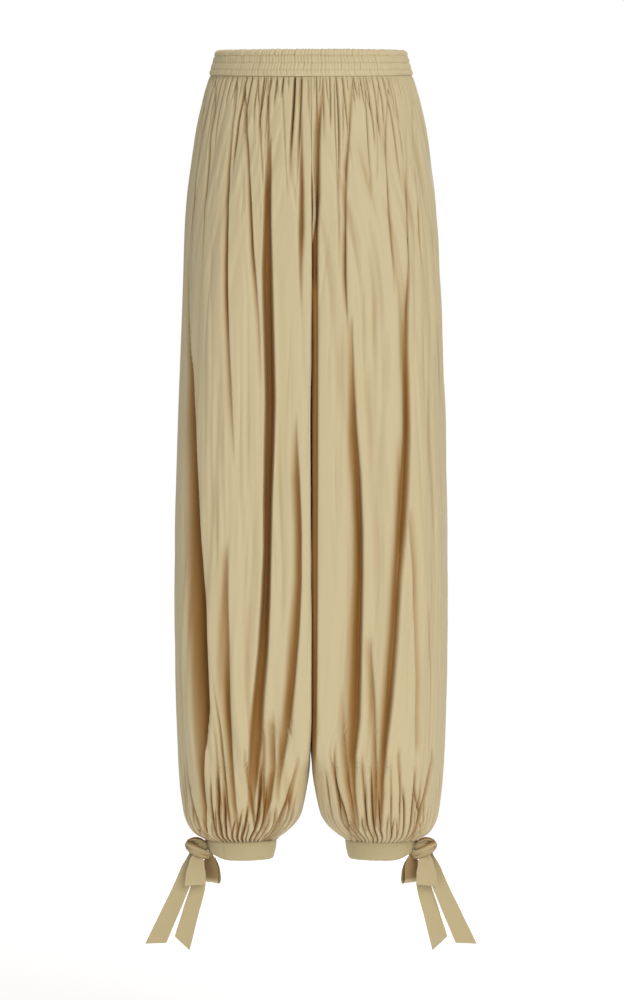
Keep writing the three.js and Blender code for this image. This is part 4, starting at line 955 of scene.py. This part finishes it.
def lay_strap(shell, side, shape, salt):
    """A flat strap as a closed flattened tube along its path, softly creased where it was folded or tied."""
    steps, thick = shape["steps"], shape.get("thick", STRAP_THICK)
    folded = thick > STRAP_THICK
    line, along, share = smooth_path(shape["path"], steps)
    across = np.array(shape["across"], float)
    wide = across - along * (along @ across)[:, None]
    wide /= np.linalg.norm(wide, axis=1, keepdims=True)
    facing = np.cross(wide, along)
    run = np.concatenate([[0], np.cumsum(np.linalg.norm(np.diff(line, axis=0), axis=1))])
    turn = np.linspace(0, 2 * math.pi, AROUND + 1)
    flat_x = np.sign(np.cos(turn)) * np.abs(np.cos(turn)) ** 0.62
    flat_y = np.sign(np.sin(turn)) * np.abs(np.sin(turn)) ** 0.42
    points, places = [], []
    for i in range(steps + 1):
        width = STRAP_WIDTH * share[i]
        offset = flat_x / 2
        t = i / steps
        cut = shape.get("slant", 0) * offset * ease((t - 0.8) / 0.2)
        tight = 1 - ease((share[i] - 0.3) / 0.55)
        cup = (0.8 + 1.8 * tight) * (1 - 4 * offset * offset)
        ripple = 0.22 * math.sin(run[i] / 5.3 + salt) * np.sin(offset * 7 + salt)
        ripple = ripple + 0.3 * math.sin(run[i] / 17 + salt * 2)
        wave = np.cos(offset * 20 + salt + run[i] / 30)
        pleat = tight * 0.9 * wave * (0.8 if folded else 1)
        height = cup + ripple * (0.4 + 0.6 * (1 - tight)) + pleat + thick / 2 * flat_y
        point = line[i] + np.array(KNOT) + wide[i] * (offset * width)[:, None] + along[i] * cut[:, None]
        point = point + facing[i] * height[:, None]
        point[:, 0] *= side
        # Painted shade in the troughs of the pleats where the strap is drawn tight, along the edges of a
        # folded turn where the strands meet, and over the near half of a strap given an inside shade.
        shade = 2.2 * tight * (1 - wave) * (flat_y > 0)
        if folded:
            shade = shade + 11 * np.clip((np.abs(flat_x) - 0.78) / 0.2, 0, 1)
        shade = shade + shape.get("inside", 0) * (1 - ease((t - 0.42) / 0.08))
        points.append(np.column_stack([point, shade]))
        points[-1][-1] = points[-1][0]
        places.append([(a * 0.026, run[i] * MM) for a in offset])
    made = lay_grid(shell, points, places, side > 0)
    bmesh.ops.remove_doubles(shell, verts=made, dist=0.00001)


def close_ends(shell):
    open_edges = [edge for edge in shell.edges if edge.is_boundary]
    bmesh.ops.holes_fill(shell, edges=open_edges, sides=0)
    bmesh.ops.recalc_face_normals(shell, faces=shell.faces[:])


def bow_piece(side, name):
    leg = LEGS[side]
    shell = bmesh.new()
    lay_strap(shell, side, STRAPS[name], 1.3 if side > 0 else 3.1)
    close_ends(shell)
    return finish_cloth(f"{name}_{leg}_tie", shell, tie_cotton, [f"{name}_{leg}"], 0)


def knot(side):
    leg = LEGS[side]
    shell = bmesh.new()
    for number, shape in enumerate(KNOT_TURNS):
        lay_strap(shell, side, shape, 0.7 + number)
    close_ends(shell)
    lump = bmesh.ops.create_uvsphere(shell, u_segments=40, v_segments=24, radius=1)["verts"]
    for corner in lump:
        x, y, z = (corner.co[i] * LUMP_SIZE[i] for i in range(3))
        corner.co = Vector((side * (KNOT.x + LUMP_SHIFT + x), KNOT.y + y, KNOT.z + z)) * MM
    if side < 0:
        bmesh.ops.reverse_faces(shell, faces=list({face for corner in lump for face in corner.link_faces}))
    return finish_cloth(f"knot_{leg}_tie", shell, tie_cotton, [f"knot_{leg}"], 0)


CUTS = dict(loop_front=(0.026, 0.07), loop_back=(0.026, 0.075))
CUTS.update(tail_outer=(0.026, 0.115), tail_inner=(0.026, 0.105))
for side, leg in LEGS.items():
    knot(side)
    for name, cut in CUTS.items():
        bow_piece(side, name)

# ---- Studio


def soft_light(name, place, target, size, power, colour):
    data = bpy.data.lights.new(name, "AREA")
    data.shape = "RECTANGLE"
    data.size, data.size_y = size
    data.energy = power
    data.color = colour
    lamp = add_object(name, data)
    lamp.location = place
    lamp.rotation_euler = (Vector(target) - Vector(place)).to_track_quat("-Z", "Y").to_euler()


soft_light("key", (1.55, -3.1, 0.85), (0, 0, -0.5), (2.4, 2.4), 68, (1, 0.99, 0.96))
soft_light("fill", (-2.2, -2.8, -0.4), (0, 0, -0.6), (2.2, 2.4), 12, (0.96, 0.99, 1))
soft_light("top", (0.2, 0.2, 2.4), (0, 0, -0.4), (2.2, 1.8), 22, (1, 0.99, 0.97))
soft_light("back", (0.4, 2.9, 0.2), (0, 0, -0.6), (2.0, 2.0), 34, (1, 0.99, 0.96))

WHITE = (1, 1, 1, 1)
world = bpy.data.worlds.new("studio")
scene.world = world
world.use_nodes = True
sky = world.node_tree
ambient = sky.nodes["Background"]
fill(sky, ambient, {"Color": WHITE, "Strength": 0.34})
backdrop = add_node(sky, "Background", {"Color": WHITE, "Strength": 1.0})
rays = add_node(sky, "LightPath", {}, "Is Camera Ray")
choice = add_node(sky, "MixShader", {0: rays, 1: ambient.outputs[0], 2: backdrop})
fill(sky, sky.nodes["World Output"], {"Surface": choice})

floor_shell = bmesh.new()
bmesh.ops.create_circle(floor_shell, cap_ends=True, segments=96, radius=2.6)
bmesh.ops.translate(floor_shell, verts=floor_shell.verts, vec=(0, 0, -1.34))
floor = add_mesh("floor", floor_shell)
floor_paint = bpy.data.materials.new("pale_floor")
floor_paint.use_nodes = True
look = {"Base Color": (0.92, 0.92, 0.92, 1), "Roughness": 0.9}
look.update({"Emission Color": WHITE, "Emission Strength": 0.3})
fill(floor_paint.node_tree, floor_paint.node_tree.nodes["Principled BSDF"], look)
floor.data.materials.append(floor_paint)

scene.view_settings.view_transform = "Standard"
